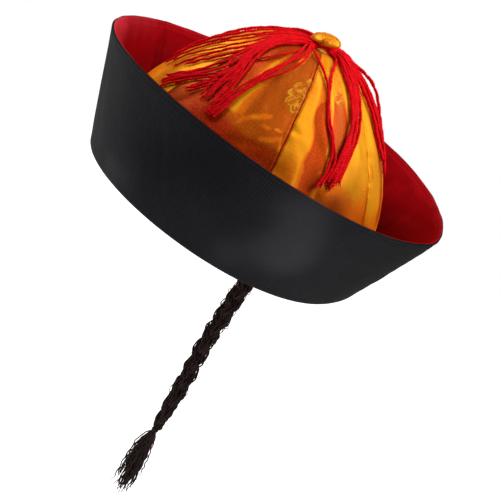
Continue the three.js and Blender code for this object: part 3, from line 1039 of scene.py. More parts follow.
def cover_section():
    """Points of the black cover's section in pairs, one on its face and one behind it: each is an
    inset from the wall's outer face and a height"""
    pairs = [
        ((HEM_WIDTH, 0.55), (HEM_WIDTH, 1.05)),
        ((HEM_WIDTH - 0.3, 0.12), (HEM_WIDTH - 0.3, 1.48)),
        ((HEM_WIDTH - 1, 0), (HEM_WIDTH - 1, COVER_THICKNESS)),
        ((4.4, 0), (4.4, COVER_THICKNESS)),
        ((2.8, 0), (3.1, COVER_THICKNESS)),
        ((1.4, 0), (2.3, COVER_THICKNESS)),
        ((0.7, 0.02), (1.9, 1.7)),
        ((0.2, 0.22), (1.7, 1.9)),
        ((0, 0.8), (COVER_THICKNESS, 2.3)),
    ]
    groove = BRIM_HEIGHT - RIM_GROOVE
    heights = list(np.linspace(2.6, groove - 1.6, WALL_ROWS)) + [groove - 0.9, groove - 0.5]
    pairs += [((0, height), (COVER_THICKNESS, height)) for height in heights]
    pairs += [
        ((0.1, groove - 0.2), (COVER_THICKNESS, groove - 0.2)),
        ((0.2, groove), (COVER_THICKNESS, groove)),
        ((0.1, groove + 0.2), (COVER_THICKNESS, groove + 0.15)),
        ((-0.03, groove + 0.45), (COVER_THICKNESS, BRIM_HEIGHT - RIM_LIP_DEPTH)),
        ((-0.06, groove + 0.9), (1.62, BRIM_HEIGHT - RIM_LIP_DEPTH)),
    ]
    for step in range(ROLL_STEPS):
        turn = math.radians(180 - 180 / ROLL_STEPS * (step + 0.5))
        inset = RIM_ROLL + (RIM_ROLL + 0.05) * math.cos(turn)
        height = BRIM_HEIGHT - RIM_ROLL + RIM_ROLL * math.sin(turn)
        behind = (1.64 + 0.02 * step, BRIM_HEIGHT - RIM_LIP_DEPTH)
        pairs.append(((inset, height), behind))
    behind = (2 * RIM_ROLL - 0.1, BRIM_HEIGHT - RIM_LIP_DEPTH)
    pairs.append(((2 * RIM_ROLL, BRIM_HEIGHT - 1.8), behind))
    return np.array(pairs)


def seam_distance(angle, middle, half_span):
    """How far a point of the brim is from the nearer side seam, in millimetres"""
    return (half_span - np.abs(angle - middle)) * math.radians(RIM_RADIUS)


def angle_across(across, middle, half_span):
    """The angle at a share of the way across half a brim, finer near the side seams"""
    bend = math.pi * SEAM_CROWDING
    return middle + half_span * np.sin((across - 0.5) * bend) / math.sin(bend / 2)


def flat_size(half_span, radius, run, flare):
    """The flat size and the area of the cloth of half a brim, whose section has a length"""
    width = math.radians(2 * half_span)
    middle_radius = (RIM_RADIUS + EDGE_HALF_WIDTH) / 2
    return (width * radius * MM, run * flare * MM), width * middle_radius * run * MM * MM


def cover_half(name, middle, half_span):
    section = cover_section()
    columns = int(2 * half_span * COVER_COLUMNS_PER_DEGREE)
    walked = np.linalg.norm(np.diff(section[:, 0], axis=0), axis=1)
    run = np.concatenate([[0], np.cumsum(walked)])

    def row_at(up):
        return np.rint(up * (len(section) - 1)).astype(int)

    def place(across, up, depth):
        pair = section[row_at(up)]
        inset, height = lerp(pair[:, 0], pair[:, 1], depth[:, None]).T
        angle = angle_across(across, middle, half_span)
        away = seam_distance(angle, middle, half_span)
        on_wall = smooth(4, 16, height) * (1 - smooth(60, 68, height))
        uneven = soft_noise(angle / 11, height / 30, seed=5) * 0.35 * on_wall
        uneven = uneven + soft_noise(angle / 2.6, height / 3, seed=6) * 0.05
        rim_wave = soft_noise(angle / 5, 0 * angle, seed=7) * 0.25 * smooth(64, 69, height)
        crease = fold_depth(COVER_CREASES, angle, height, WALL_RADIUS) * on_wall
        pucker = soft_noise(0 * angle + 2, height / 3.5, seed=8) * 0.3 * np.exp(-away / 4)
        tuck = bell(away, 0, 0.8) - 0.3 * bell(away, 2.4, 1.4)
        tuck = tuck * smooth(0, 3, height) * (1 - 0.8 * smooth(66, 70, height))
        return brim_point(angle, inset + crease + uneven + pucker + tuck, height + rim_wave)

    def pattern(across, up):
        around = np.radians(angle_across(across, middle, half_span)) * WALL_RADIUS
        return np.stack([around, run[row_at(up)]], -1)

    # Painted sheen and painted shade, where the cover's folds face the light or turn from it
    def tone(across, up):
        angle = angle_across(across, middle, half_span)
        height = section[row_at(up), 0, 1]
        return np.clip(fold_depth(COVER_SHADES, angle, height, WALL_RADIUS), -1, 1)

    piece = laid_cloth(name, columns, len(section) - 1, place, pattern, tone=tone)
    return piece, *flat_size(half_span, RIM_RADIUS + ROLL_ALLOWANCE, run[-1], COVER_FLARE)


def lining_half(name, middle, half_span):
    foot = COVER_THICKNESS + GAP
    top = BRIM_HEIGHT + 0.1

    def place(across, up, depth):
        height = lerp(foot, top, 1 - (1 - up) ** 1.35)
        over_lip = smooth(BRIM_HEIGHT - 3.6, BRIM_HEIGHT - 2.2, height)
        turned = smooth(BRIM_HEIGHT - 0.9, BRIM_HEIGHT, height)
        angle = angle_across(across, middle, half_span)
        away = seam_distance(angle, middle, half_span)
        on_wall = smooth(3, 12, height) * (1 - smooth(64, 69.5, height))
        crease = fold_depth(LINING_CREASES, angle, height, WALL_RADIUS)
        slack = soft_noise(angle / 9, height / 34, seed=11) * 0.5
        slack = slack + soft_noise(angle / 3.1 + height / 9, height / 12, seed=12) * 0.14
        ridge = 0.5 * bell(away, 2.6, 1.3) - 0.5 * bell(away, 0, 1)
        pucker = soft_noise(0 * angle + 2, height / 4, seed=13) * 0.35 * np.exp(-away / 5)
        inner = np.maximum((crease + slack + pucker + ridge) * on_wall, -0.25)
        thick = lerp(LINING_THICKNESS, 0.5, over_lip)
        inset = foot + over_lip * 0.25 + depth * thick + inner - 0.9 * turned
        return brim_point(angle, inset, height)

    def pattern(across, up):
        around = np.radians(angle_across(across, middle, half_span)) * LINING_RADIUS
        return np.stack([around, lerp(foot, top, up)], -1)

    def tone(across, up):
        angle = (angle_across(across, middle, half_span) + 180) % 360 - 180
        facets = fold_depth(LINING_FACETS, angle, lerp(foot, top, up), WALL_RADIUS, 8)
        # Painted shade deeper down inside the brim, and painted sheen on the folds that face the light
        deep = (1 - up) * (0.75 + 0.35 * facets)
        return np.clip(0.8 * facets - deep + 0.08 * soft_noise(angle / 3, up * 2, seed=14), -1, 1)

    piece = laid_cloth(name, int(2 * half_span), LINING_ROWS, place, pattern, tone=tone)
    slant = math.hypot(top - foot, RIM_RADIUS - EDGE_HALF_WIDTH)
    return piece, *flat_size(half_span, RIM_RADIUS, slant, LINING_FLARE)


def crown_gore(index):
    middle = index * 2 * GORE_HALF_SPAN + GORE_TURN
    shift_x, shift_y = FIGURE_SHIFTS[index]
    # The gore's painted tone as a whole: how far it turns from its yellow weft towards copper and red,
    # partly in painted shade where it faces away from the light
    warp = GORE_TONES[index]

    def spread(across):
        return np.sin((2 * across - 1) * np.pi / 2)

    def located(across, up):
        """A point's angle, rise and distance from the top, and half the gore's width there"""
        rise = up * CROWN_TOP_RISE
        angle = middle + spread(across) * GORE_HALF_SPAN
        radius = crown_outline(angle, crown_height(angle, rise))
        return angle, rise, distance_at(rise), math.radians(GORE_HALF_SPAN) * radius

    def place(across, up, depth):
        angle, rise, distance, half_width = located(across, up)
        side = spread(across)
        height = crown_height(angle, rise)
        away = (1 - np.abs(side)) * half_width
        fade = smooth(0, 0.05, rise) * smooth(2, 20, distance)
        turn = angle * math.radians(CROWN_HALF_WIDTH)
        allowance = np.where(side > 0, 0.06 + 0.3 * warp, 0.02) * bell(away, 1.5, 0.8)
        pucker = soft_noise(0 * away + index, distance / 3.2, seed=21) * 0.42 * np.exp(-away / 4.5)
        crumple = soft_noise(turn / 17, height / 34, seed=22 + index) * 0.7
        crumple = crumple + soft_noise(turn / 8 + height / 11, height / 9, seed=32 + index) * 0.22
        crease = fold_depth(CROWN_CREASES, angle, height, CROWN_HALF_WIDTH)
        out = (allowance + pucker + crumple * (1 - np.exp(-away / 5)) - crease) * fade
        out = out - 0.75 * bell(away, 0, 0.5) - depth * CROWN_THICKNESS
        return crown_face(angle, rise) + crown_outward(angle, rise) * out[:, None]

    def pattern(across, up):
        _, _, distance, half_width = located(across, up)
        return np.stack([spread(across) * half_width - shift_x, distance - shift_y], -1)

    # The shot cloth's painted tone: its painted sheen, glints and shade, partly its own weft and warp
    def tone(across, up):
        angle, _, distance, half_width = located(across, up)
        turn = angle * math.radians(CROWN_HALF_WIDTH)
        strayed = angle + soft_noise(turn / 12, distance / 16, seed=61) * 2
        streaks = fold_depth(TONE_STREAKS, strayed, distance, TONE_RADIUS, 4)
        streaks = streaks + fold_depth(TONE_GLINTS, strayed, distance, TONE_RADIUS)
        streaks = streaks + soft_noise(turn / 9, distance / 40, seed=51 + index) * 0.09
        # Painted shade and a painted reflection of the red lining towards the brim, and a darker line
        # along each seam
        foot = smooth(95, 102, distance) * (0.02 + 0.6 * warp)
        away = (1 - np.abs(spread(across))) * half_width
        seam = (0.26 + 0.5 * warp) * bell(away, 0, 0.9) * smooth(6, 16, distance)
        return np.clip(warp + streaks + foot + seam, -3, 1)

    def shade(across, up):
        angle, _, distance, _ = located(across, up)
        return np.clip(fold_depth(CROWN_SHADES, angle, distance, TONE_RADIUS), 0, 1)

    name = f"crown_brocade_{index + 1}"
    piece = laid_cloth(name, GORE_COLUMNS, GORE_ROWS, place, pattern, tone=tone, shade=shade)
    rises = np.linspace(0, CROWN_TOP_RISE, 60)
    widths = 2 * math.radians(GORE_HALF_SPAN) * crown_outline(middle, crown_height(middle, rises))
    lengths = distance_at(rises)
    area = float(np.sum((widths[1:] + widths[:-1]) / 2 * -np.diff(lengths)))
    return piece, (widths.max() * MM, lengths[0] * MM), area * MM * MM


def covered_button():
    """A flat dome of brocade over a former, gathered under its foot and tipped to one side"""
    nothing_selected()
    bpy.ops.mesh.primitive_uv_sphere_add(segments=96, ring_count=48, radius=1, location=(0, 0, 0))
    dome = bpy.context.object
    dome.name = "covered_button_brocade"
    dome.data.name = dome.name
    x, y, level = points_of(dome).T
    turn = np.arctan2(y, x)
    upper = level > 0
    gathers = np.sin(turn * BUTTON_GATHERS + 2 * soft_noise(turn * 3, level * 2, seed=41))
    gathers = gathers * (1 - smooth(-0.35, 0.3, level))
    crumple = soft_noise(x * 4.2 + 3, y * 4.2 + 3, seed=42)
    crumple = crumple + 0.6 * soft_noise(x * 9 + 7, y * 9 + 7, seed=43)
    dimple = np.exp(-(((x - 0.1) / 0.26) ** 2) - ((y + 0.15) / 0.2) ** 2)
    plump = 0.82 + 0.18 * smooth(-1, 0.1, level)
    out = 1 + (0.035 * gathers + 0.022 * crumple) * np.sqrt(np.clip(1 - level**2, 0, 1))
    reach = BUTTON_RADIUS * plump * out
    height = np.where(upper, 0.3 + 0.7 * level, 0.3 + 0.3 * level)
    height = height + 0.035 * crumple * upper * level - 0.09 * dimple * upper
    points = points_at(x * reach, y * reach, BUTTON_HEIGHT * height)
    at_foot = 1 - smooth(-0.2, 0.4, points[:, 2])
    # Painted shade in the dimple and round the foot, where the cloth turns under the dome; the crumples
    # shift it too
    tone = 0.08 + 0.34 * crumple + 0.6 * dimple + 0.3 * at_foot
    lay_pattern(dome, points[:, :2] * BUTTON_CLOTH_SHARE)
    paint(dome, "tone", tone)
    tipped = np.array(Matrix.Rotation(math.radians(BUTTON_TIP), 3, view_axes()[2]))
    points = (points - (0, 0, BUTTON_PIVOT)) @ tipped.T + (0, 0, BUTTON_PIVOT + BUTTON_LIFT)
    set_points(dome, (points + (*CROWN_LEAN, BUTTON_FOOT)) * MM)
    smooth_shading(dome, 80)
    return dome


def stray_fibres(fibre, path, radius, draws):
    """Short fibres that stand out along a yarn, and some that spread from its cut end"""
    ahead = unit(np.gradient(path, axis=0))
    loose = []
    places = [*draws.integers(12, len(path) - 4, FIBRES_PER_YARN), *[len(path) - 2] * ENDS_PER_YARN]
    for order, at in enumerate(places):
        at_end = order >= FIBRES_PER_YARN
        out = unit(np.cross(ahead[at], unit(draws.normal(size=3))))
        length = draws.uniform(1.8, 3.4) if at_end else draws.uniform(1.2, 2.6)
        share = np.linspace(0, 1, 6)[:, None]
        if at_end:
            start = path[at] + out * radius * 0.45
            line = start + ahead[at] * length * share + out * length * 0.3 * share**2
        else:
            start = path[at] + out * radius * 0.5
            line = start + out * length * 0.42 * np.sin(share * 2.4) + ahead[at] * length * share
        thick = radius * (0.34 if at_end else 0.07)
        loose.append(yarn_along(fibre, line, thick * (1 - 0.5 * share[:, 0])))
    return loose


def sideways(fan, share, stray):
    """How far a yarn lies to the side of its run: its place in the fan, with some wandering"""
    wander = stray[0] * np.sin(share * 5 + stray[1] * 3) * smooth(0.1, 0.5, share) * 0.5
    wander = wander + 0.4 * soft_noise(share * 17, 0 * share + 9 * stray[3], seed=63)
    wander = wander + 0.22 * soft_noise(share * 41, 0 * share + 5 * stray[5], seed=65)
    weave = stray[2] * 1.9 * np.sin(share * (9 + 5 * stray[4]) + stray[3] * 3)
    return fan + wander + weave


def lift_on_cloth(distance, along, layer, radius, stray):
    """How far a yarn's middle is off the cloth: in layers near the button, with bumps further out"""
    stacked = layer * smooth(7, 12, distance) * (1 - 0.85 * smooth(15, 42, distance))
    bumps = 0.35 * np.sin(along * 31 + stray[1] * 3) * smooth(0.2, 0.4, along)
    return radius + YARN_CLEARANCE + np.maximum(stacked, 0) + np.abs(bumps)


def tassel_yarns(yarn, fibre, runs, draws, radius):
    """Yarns that leave the button's foot and lie on the crown, a few to each run"""
    laid = []
    for places, count, spread, arch, arch_at in runs:
        turns, reaches = np.array([(places[0][0], YARN_START), *places]).T
        turns = np.radians(turns)
        route = np.stack([reaches * np.sin(turns), reaches * np.cos(turns)], -1)
        line = curve_through(route, 90)
        share = np.linspace(0, 1, len(line))
        ahead = unit(np.gradient(line, axis=0))
        side = np.stack([ahead[:, 1], -ahead[:, 0]], -1)
        for order in range(count):
            lane = order - (count - 1) / 2
            stray = draws.uniform(-1, 1, 6)
            fan = lane * lerp(1.35 * radius, spread / max(count - 1, 1), smooth(0.3, 1, share))
            moved = line + side * sideways(fan, share, stray)[:, None]
            kept_points = YARN_POINTS - int(5 * abs(stray[4]))
            kept = curve_through([*moved[:-3:6], moved[-1]], YARN_POINTS)[:kept_points]
            distance = np.hypot(kept[:, 0], kept[:, 1])
            angle = np.degrees(np.arctan2(kept[:, 0], kept[:, 1]))
            layer = (order % 3 + 0.5 * stray[5]) * radius
            along = np.linspace(0, 1, len(kept))
            bow = arch * bell(distance, arch_at, ARCH_WIDTH * arch_at)
            lift = lift_on_cloth(distance, along, layer, radius, stray) + bow
            rise = rise_at(distance)
            path = crown_face(angle, rise) + crown_outward(angle, rise) * lift[:, None]
            full = radius * draws.uniform(0.84, 1.1)
            row = 0 * along + 10 * stray[0]
            lumps = soft_noise(along * 38, row, seed=62) + 0.7 * soft_noise(along * 83, row + 5, seed=64)
            laid.append(yarn_along(yarn, path, full * (1 + 0.17 * lumps)))
            laid.extend(stray_fibres(fibre, path, full, draws))
    return laid


# Panel entries and steps


COLOUR = {"subtype": "COLOR", "size": 3}


class HatSettings(bpy.types.PropertyGroup):
    cover_colour: bpy.props.FloatVectorProperty(
        name="Brim cloth",
        description="Colour of the black cloth outside the brim",
        default=(0.0115, 0.0115, 0.0135),
        **COLOUR,
    )
    lining_colour: bpy.props.FloatVectorProperty(
        name="Brim lining",
        description="Colour of the red satin inside the brim",
        default=(0.25, 0.0008, 0.003),
        **COLOUR,
    )
    lining_sheen: bpy.props.FloatVectorProperty(
        name="Brim lining in the light",
        description="Colour of the red satin where its folds face the light",
        default=(0.62, 0.035, 0.05),
        **COLOUR,
    )
    brocade_colour: bpy.props.FloatVectorProperty(
        name="Brocade ground",
        description="Colour of the crown's satin ground",
        default=(0.80, 0.315, 0.009),
        **COLOUR,
    )
    # The next five colours are partly the shot satin's own yellow weft and red warp and partly painted
    # light: orange and glow mostly for a painted sheen, copper and dusk for painted shade, and warp for
    # painted shade with a painted reflection of the red lining near the brim
    orange_colour: bpy.props.FloatVectorProperty(
        name="Brocade turn",
        description="Colour of the satin ground where its warp begins to show",
        default=(0.74, 0.14, 0.004),
        **COLOUR,
    )
    glow_colour: bpy.props.FloatVectorProperty(
        name="Brocade glow",
        description="Colour of the satin ground where its warp glows in the light",
        default=(0.43, 0.034, 0.002),
        **COLOUR,
    )
    dusk_colour: bpy.props.FloatVectorProperty(
        name="Brocade dusk",
        description="Colour of the satin ground where it turns dull from the light",
        default=(0.33, 0.064, 0.009),
        **COLOUR,
    )
    copper_colour: bpy.props.FloatVectorProperty(
        name="Brocade copper",
        description="Colour of the satin ground where weft and warp show alike",
        default=(0.45, 0.068, 0.004),
        **COLOUR,
    )
    # Painted shade and a painted reflection of the red lining, over the red warp
    warp_and_shade_colour: bpy.props.FloatVectorProperty(
        name="Brocade warp",
        description="Colour of the satin ground where its red warp shows most",
        default=(0.36, 0.010, 0.003),
        **COLOUR,
    )
    figure_colour: bpy.props.FloatVectorProperty(
        name="Brocade figures",
        description="Colour of the scrolled clouds woven in the crown's cloth",
        default=(0.80, 0.40, 0.02),
        **COLOUR,
    )
    yarn_colour: bpy.props.FloatVectorProperty(
        name="Tassel yarn",
        description="Colour of the tassel's yarn",
        default=(0.70, 0.0018, 0.007),
        **COLOUR,
    )
    braid_colour: bpy.props.FloatVectorProperty(
        name="Braid yarn",
        description="Colour of the braid's yarn",
        default=(0.0165, 0.0098, 0.009),
        **COLOUR,
    )
    rib_pitch: bpy.props.FloatProperty(
        name="Rib pitch",
        description="Distance between the ribs of the brim's cloth",
        unit="LENGTH",
        default=0.0017,
    )
    yarn_radius: bpy.props.FloatProperty(
        name="Tassel yarn radius",
        description="Half the thickness of the tassel's yarn",
        unit="LENGTH",
        default=0.0012,
    )
    braid_yarn_radius: bpy.props.FloatProperty(
        name="Braid yarn radius",
        description="Half the thickness of the braid's yarn",
        unit="LENGTH",
        default=0.00062,
    )


class HAT_OT_brim(bpy.types.Operator):
    """Makes the brim: a black cover and a red lining, each in a front and a back half"""

    bl_idname = "hat.brim"
    bl_label = "Brim"

    def execute(self, context):
        settings = context.scene.hat
        black = black_cloth(settings)
        red = red_satin(settings)
        halves = [
            ("front", 0, BRIM_SEAM_ANGLE),
            ("back", 180, 180 - BRIM_SEAM_ANGLE),
        ]
        for side, middle, half_span in halves:
            cover, flat, area = cover_half(f"brim_cloth_{side}", middle, half_span)
            finished(cover, [black, black], [f"brim_cover_{side}"])
            lapped = half_span + LINING_LAP
            lining, flat, area = lining_half(f"brim_satin_{side}", middle, lapped)
            finished(lining, [red, red], [f"brim_lining_{side}"])
        return {"FINISHED"}


class HAT_OT_crown(bpy.types.Operator):
    """Makes the crown's six gores of gold brocade and the covered button"""

    bl_idname = "hat.crown"
    bl_label = "Crown and button"

    def execute(self, context):
        settings = context.scene.hat
        brocade = gold_brocade(settings)
        back = brocade_back(settings)
        for index in range(GORE_COUNT):
            gore, flat, area = crown_gore(index)
            finished(gore, [brocade, back], [f"crown_gore_{index + 1}"])
        finished(covered_button(), [brocade], ["crown_button"])
        return {"FINISHED"}


class HAT_OT_tassel(bpy.types.Operator):
    """Lays the tassel's red yarns over the crown"""

    bl_idname = "hat.tassel"
    bl_label = "Tassel"

    def execute(self, context):
        settings = context.scene.hat
        red = yarn_look(
            "red_yarn",
            settings.yarn_colour,
            roughness=0.65,
            sheen=0.08,
            tint=(1, 0.1, 0.12, 1),
            spread=1.2,
        )
        yarn = straight_yarn("straight_yarn", YARN_PLIES, YARN_TURNS, steps_per_turn=6, sides=4)
        if not ends_filled(yarn):
            raise RuntimeError("the straight yarn isn't closed at its ends")
        fibre = straight_yarn("fibre", 1, 1, steps_per_turn=5, sides=3)
        draws = np.random.default_rng(TASSEL_SEED)
        radius = settings.yarn_radius / MM
        for side, first, end, thinned in TASSEL_GROUPS:
            runs = YARN_RUNS[first:end]
            laid = tassel_yarns(yarn, fibre, runs, draws, radius * thinned)
            piece = joined(f"tassel_yarns_{side}", laid)
            finished(piece, [red], ["yarn_tassel"])
        bpy.data.objects.remove(yarn)
        bpy.data.objects.remove(fibre)
        return {"FINISHED"}


class HAT_OT_braid(bpy.types.Operator):
    """Plaits the braid and gives it its sewn head, its tie and its loose tail"""

    bl_idname = "hat.braid"
    bl_label = "Braid"

    def execute(self, context):
        settings = context.scene.hat
        black = yarn_look(
            "black_yarn",
            settings.braid_colour,
            roughness=0.55,
            sheen=0.02,
            tint=(1, 0.8, 0.7, 1),
            spread=2,
        )
        radius = settings.braid_yarn_radius / MM
        draws = np.random.default_rng(BRAID_SEED)
        fine = straight_yarn("fine_yarn", 1, 1, LONG_YARN_STEPS, sides=5)
        short = straight_yarn("short_yarn", 1, 1, SHORT_YARN_STEPS, sides=5)
        if not (ends_filled(fine) and ends_filled(short)):
            raise RuntimeError("a yarn of the braid isn't closed at its ends")
        centre = curve_through(BRAID_ROUTE, 160)
        plait = joined("plait_yarn", plait_yarns(fine, short, centre, radius, draws))
        head = joined("plait_head_yarn", head_yarns(short, radius, draws))
        tie = joined("plait_tie_yarn", tie_yarns(fine, centre[-1], radius))
        tail = joined("plait_tail_yarn", tail_yarns(short, centre[-1], radius, draws))
        for piece, node in [(plait, "plait"), (head, "head"), (tie, "tie"), (tail, "tail")]:
            finished(piece, [black], [f"braid_{node}"])
        bpy.data.objects.remove(fine)
        bpy.data.objects.remove(short)
        return {"FINISHED"}


def bundle_places(count):
    """Even places in a circle of radius 1"""
    order = np.arange(count) + 0.5
    reach = np.sqrt(order / count)
    turn = order * math.radians(GOLDEN_ANGLE)
    return np.stack([reach * np.cos(turn), reach * np.sin(turn)], -1)


def waves(share, parts, phases):
    """A sum of sine waves along a yarn, each with its height and its pace"""
    return sum(height * np.sin(share * pace + phase) for (height, pace), phase in zip(parts, phases))


def plait_yarns(fine, short, centre, radius, draws):
    """Three crossing strands, each a bundle of crimped yarns, and some stray loops"""
    share = np.linspace(0, 1, len(centre))
    width = lerp(PLAIT_TOP_WIDTH, PLAIT_FOOT_WIDTH, share)
    pinch = np.minimum(1, 0.5 + 4 * (1 - share)) * np.minimum(1, 0.7 + 4 * share)
    strand = width * PLAIT_STRAND_SHARE * pinch
    swing = (width - strand) / 2 * pinch
    turns = length_of(centre) / PLAIT_TURN
    places = bundle_places(YARNS_PER_STRAND)
    laid = []
    for order in range(3):
        turn = 2 * math.pi * (turns * share + order / 3)
        path = centre.copy()
        path[:, 0] += swing * np.sin(turn)
        path[:, 1] += width * PLAIT_DEPTH_SHARE * pinch * np.sin(2 * turn)
        for x, y in places:
            spin = share * 5 + order
            crimp = draws.uniform(0, 6.28, 4)
            reach = strand / 2 - radius * 0.6
            yarn = path.copy()
            yarn[:, 0] += (x * np.cos(spin) - y * np.sin(spin)) * reach
            yarn[:, 1] += (x * np.sin(spin) + y * np.cos(spin)) * reach * 0.8
            yarn[:, 0] += waves(share, CRIMP_ACROSS, crimp[:2])
            yarn[:, 1] += waves(share, CRIMP_THROUGH, crimp[2:])
            laid.append(yarn_along(fine, yarn, radius))
    for _ in range(STRAY_LOOPS):
        at = int(draws.uniform(6, len(centre) - 24))
        span = int(draws.uniform(5, 12))
        side = draws.choice((-1, 1))
        turn = draws.uniform(-0.9, 0.9)
        bow = np.sin(np.linspace(0, math.pi, span))
        out = width[at] / 2 * 0.72 + bow * draws.uniform(*STRAY_BOW)
        loop = centre[at : at + span].copy()
        loop[:, 0] += side * out * math.cos(turn)
        loop[:, 1] += out * math.sin(turn) * 0.8
        loop[:, 2] += draws.uniform(-1.5, 1.5) * bow
        curve = curve_through(loop, SHORT_YARN_STEPS + 1)
        laid.append(yarn_along(short, curve, radius * STRAY_THICKNESS))
    return laid


def head_yarns(short, radius, draws):
    """The plait's flat top, whose yarns turn over and are bound before they are sewn in"""
    x, y, _ = BRAID_ROUTE[0]
    laid = []
    for order, (right, back) in enumerate(bundle_places(HEAD_YARNS)):
        top = HEAD_TOP - 1.2 - 2.2 * (right * right + back * back) - draws.uniform(0, 0.8)
        heights = np.linspace(top, HEAD_FOOT + 0.2, 12)
        waist = 1 - 0.22 * bell(heights, 4, 3.5)
        sway_x = 0.25 * np.sin(heights * 1.3 + order)
        sway_y = 0.2 * np.cos(heights * 1.1 + order)
        path = points_at(
            x + right * (HEAD_WIDTH / 2 - 1) * waist + sway_x,
            y + back * (HEAD_DEPTH / 2 - 0.7) * waist + sway_y,
            heights,
        )
        laid.append(yarn_along(short, curve_through(path, SHORT_YARN_STEPS + 1), radius))
    turn = np.linspace(0, 2 * math.pi, SHORT_YARN_STEPS + 1)
    for level in HEAD_BINDINGS:
        path = points_at(
            x + (HEAD_WIDTH / 2 - 1.5) * np.cos(turn),
            y + (HEAD_DEPTH / 2 - 0.6) * np.sin(turn),
            level + 0.5 * turn / math.pi,
        )
        laid.append(yarn_along(short, path, radius * 0.8))
    return laid


def tie_yarns(fine, foot, radius):
    """Yarn wound round the plait's narrow end, over the yarns that run down through it"""
    x, y, z = foot
    share = np.linspace(0, 1, LONG_YARN_STEPS + 1)
    turn = 2 * math.pi * TIE_TURNS * share
    reach = 2.1 + 0.25 * np.sin(turn * 1.7)
    drop = GAP + 0.6 + (TIE_LENGTH - 1.2) * share
    winding = points_at(x + reach * np.cos(turn), y + reach * np.sin(turn), z - drop)
    tied = [yarn_along(fine, winding, radius)]
    heights = np.linspace(2, -TIE_LENGTH - 2, 60)
    for right, back in bundle_places(TIE_CORE_YARNS):
        line = points_at(x + 1.7 * right, y + 1.7 * back, z + heights)
        tied.append(yarn_along(fine, line, radius))
    return tied


def tail_yarns(short, foot, radius, draws):
    """Loose curling ends below the tie, some of them bowed out from the others"""
    top = foot[2] - GAP - TIE_LENGTH + 0.8
    share = np.linspace(0, 1, SHORT_YARN_STEPS + 1)
    laid = []
    for order, (x, y) in enumerate(bundle_places(TAIL_YARNS)):
        length = draws.uniform(*TAIL_LENGTHS) - 5 * (x * x + y * y)
        stray = draws.uniform(1.15, 1.5) if order % 4 == 0 else draws.uniform(0.6, 1.1)
        opened = stray * (1 - np.exp(-3.6 * share))
        phase = draws.uniform(0, 6.28, 4)
        pace = draws.uniform(18, 40, 2)
        curl = 0.2 + 0.8 * share
        crimp_x = 0.55 * np.sin(pace[0] * share + phase[0]) + 0.9 * share * np.sin(8 * share + phase[1])
        crimp_y = 0.55 * np.sin(pace[1] * share + phase[2]) + 0.9 * share * np.sin(7 * share + phase[3])
        right = (1.2 + 6.6 * opened) * x - 1.2 * opened + 3 * share**2 + curl * crimp_x
        back = (1.2 + 4.6 * opened) * y + curl * crimp_y
        path = points_at(foot[0] + right, foot[1] + back, top - length * share)
        thick = radius * 0.85 * (1 - 0.55 * smooth(0.85, 1, share))
        laid.append(yarn_along(short, path, thick))
    return laid


# Stage


def view_axes():
    """The photograph's right, up and back directions, and the same two before the camera rolls"""
    turn = math.radians(VIEW_TURN)
    rise = math.radians(VIEW_RISE)
    roll = math.radians(VIEW_ROLL)
    back = Vector((math.sin(turn) * math.cos(rise), -math.cos(turn) * math.cos(rise), math.sin(rise)))
    level = Vector((math.cos(turn), math.sin(turn), 0))
    upright = back.cross(level)
    right = level * math.cos(roll) + upright * math.sin(roll)
    up = upright * math.cos(roll) - level * math.sin(roll)
    return right, up, back, level, upright


def add_camera():
    right, up, back, level, upright = view_axes()
    place = (level * VIEW_RIGHT + upright * VIEW_UP + back * VIEW_DISTANCE) * MM
    data = bpy.data.cameras.new("camera")
    data.sensor_width = SENSOR_WIDTH
    data.lens = FOCAL_LENGTH / PHOTO_SIZE * SENSOR_WIDTH
    camera = bpy.data.objects.new("camera", data)
    bpy.context.collection.objects.link(camera)
    turned = Matrix((right, up, back)).transposed().to_4x4()
    camera.matrix_world = Matrix.Translation(place) @ turned
    bpy.context.scene.camera = camera


def add_softbox(name, shares, distance, size, power):
    parts = [axis * share for axis, share in zip(view_axes(), shares)]
    direction = sum(parts, Vector()).normalized()
    data = bpy.data.lights.new(name, "AREA")
    data.shape = "RECTANGLE"
    data.size, data.size_y = size
    data.energy = power
    light = bpy.data.objects.new(name, data)
    bpy.context.collection.objects.link(light)
    light.location = direction * distance + Vector((0, 0, 0.05))
    light.rotation_mode = "QUATERNION"
    light.rotation_quaternion = direction.to_track_quat("Z", "Y")
    light.visible_camera = False


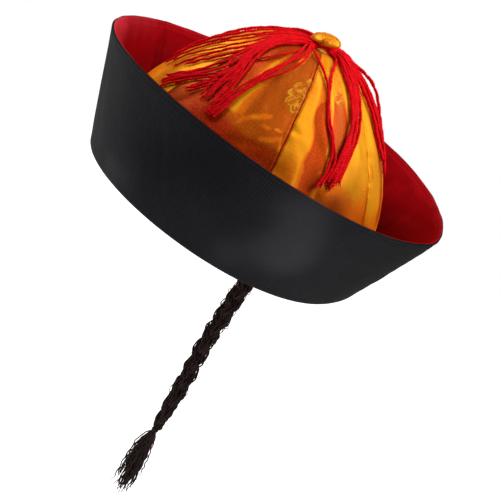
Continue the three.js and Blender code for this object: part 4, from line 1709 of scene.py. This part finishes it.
def add_world():
    world = bpy.data.worlds.new("studio")
    bpy.context.scene.world = world
    world.use_nodes = True
    nodes = world.node_tree.nodes
    nodes.clear()
    seen = nodes.new("ShaderNodeLightPath").outputs["Is Camera Ray"]
    shade = nodes.new("ShaderNodeMix")
    shade.inputs[2].default_value = ROOM_LIGHT
    shade.inputs[3].default_value = BACKDROP_LIGHT
    glow = nodes.new("ShaderNodeBackground")
    glow.inputs["Color"].default_value = (1, 1, 1, 1)
    end = nodes.new("ShaderNodeOutputWorld")
    links = world.node_tree.links
    links.new(seen, shade.inputs[0])
    links.new(shade.outputs[0], glow.inputs["Strength"])
    links.new(glow.outputs[0], end.inputs["Surface"])
    bpy.context.scene.view_settings.view_transform = "Standard"


def add_floor():
    nothing_selected()
    bpy.ops.mesh.primitive_circle_add(
        vertices=64, radius=FLOOR_RADIUS, fill_type="NGON", location=(0, 0, FLOOR_LEVEL)
    )
    floor = bpy.context.object
    floor.name = "floor"
    look = Look("pale_floor")
    grain = look.noise(look.place("Object"), 3, 2)
    floor.data.materials.append(
        look.surface(
            Base_Color=look.mix(grain, (0.86, 0.86, 0.86, 1), (0.9, 0.9, 0.9, 1)),
            Roughness=0.9,
            Emission_Color=(1, 1, 1, 1),
            Emission_Strength=0.6,
        )
    )


class HAT_OT_stage(bpy.types.Operator):
    """Sets up the camera, the soft lights and the pale floor"""

    bl_idname = "hat.stage"
    bl_label = "Stage"

    def execute(self, context):
        add_camera()
        add_world()
        add_floor()
        for softbox in SOFTBOXES:
            add_softbox(*softbox)
        return {"FINISHED"}


class HAT_PT_parts(bpy.types.Panel):
    """Lists the steps that build the hat"""

    bl_idname = "HAT_PT_parts"
    bl_label = "Chinese hat"
    bl_space_type = "VIEW_3D"
    bl_region_type = "UI"
    bl_category = "Chinese hat"

    def draw(self, context):
        for name in HatSettings.__annotations__:
            self.layout.prop(context.scene.hat, name)
        for step in STEPS:
            self.layout.operator(step.bl_idname)


STEPS = (HAT_OT_stage, HAT_OT_braid, HAT_OT_brim, HAT_OT_crown, HAT_OT_tassel)


def register():
    for kind in (HatSettings, *STEPS, HAT_PT_parts):
        bpy.utils.register_class(kind)
    bpy.types.Scene.hat = bpy.props.PointerProperty(type=HatSettings)


def unregister():
    del bpy.types.Scene.hat
    for kind in (HAT_PT_parts, *reversed(STEPS), HatSettings):
        bpy.utils.unregister_class(kind)


def main():
    register()
    bpy.ops.hat.stage()
    bpy.ops.hat.braid()
    bpy.ops.hat.brim()
    bpy.ops.hat.crown()
    bpy.ops.hat.tassel()


if __name__ == "__main__":
    main()
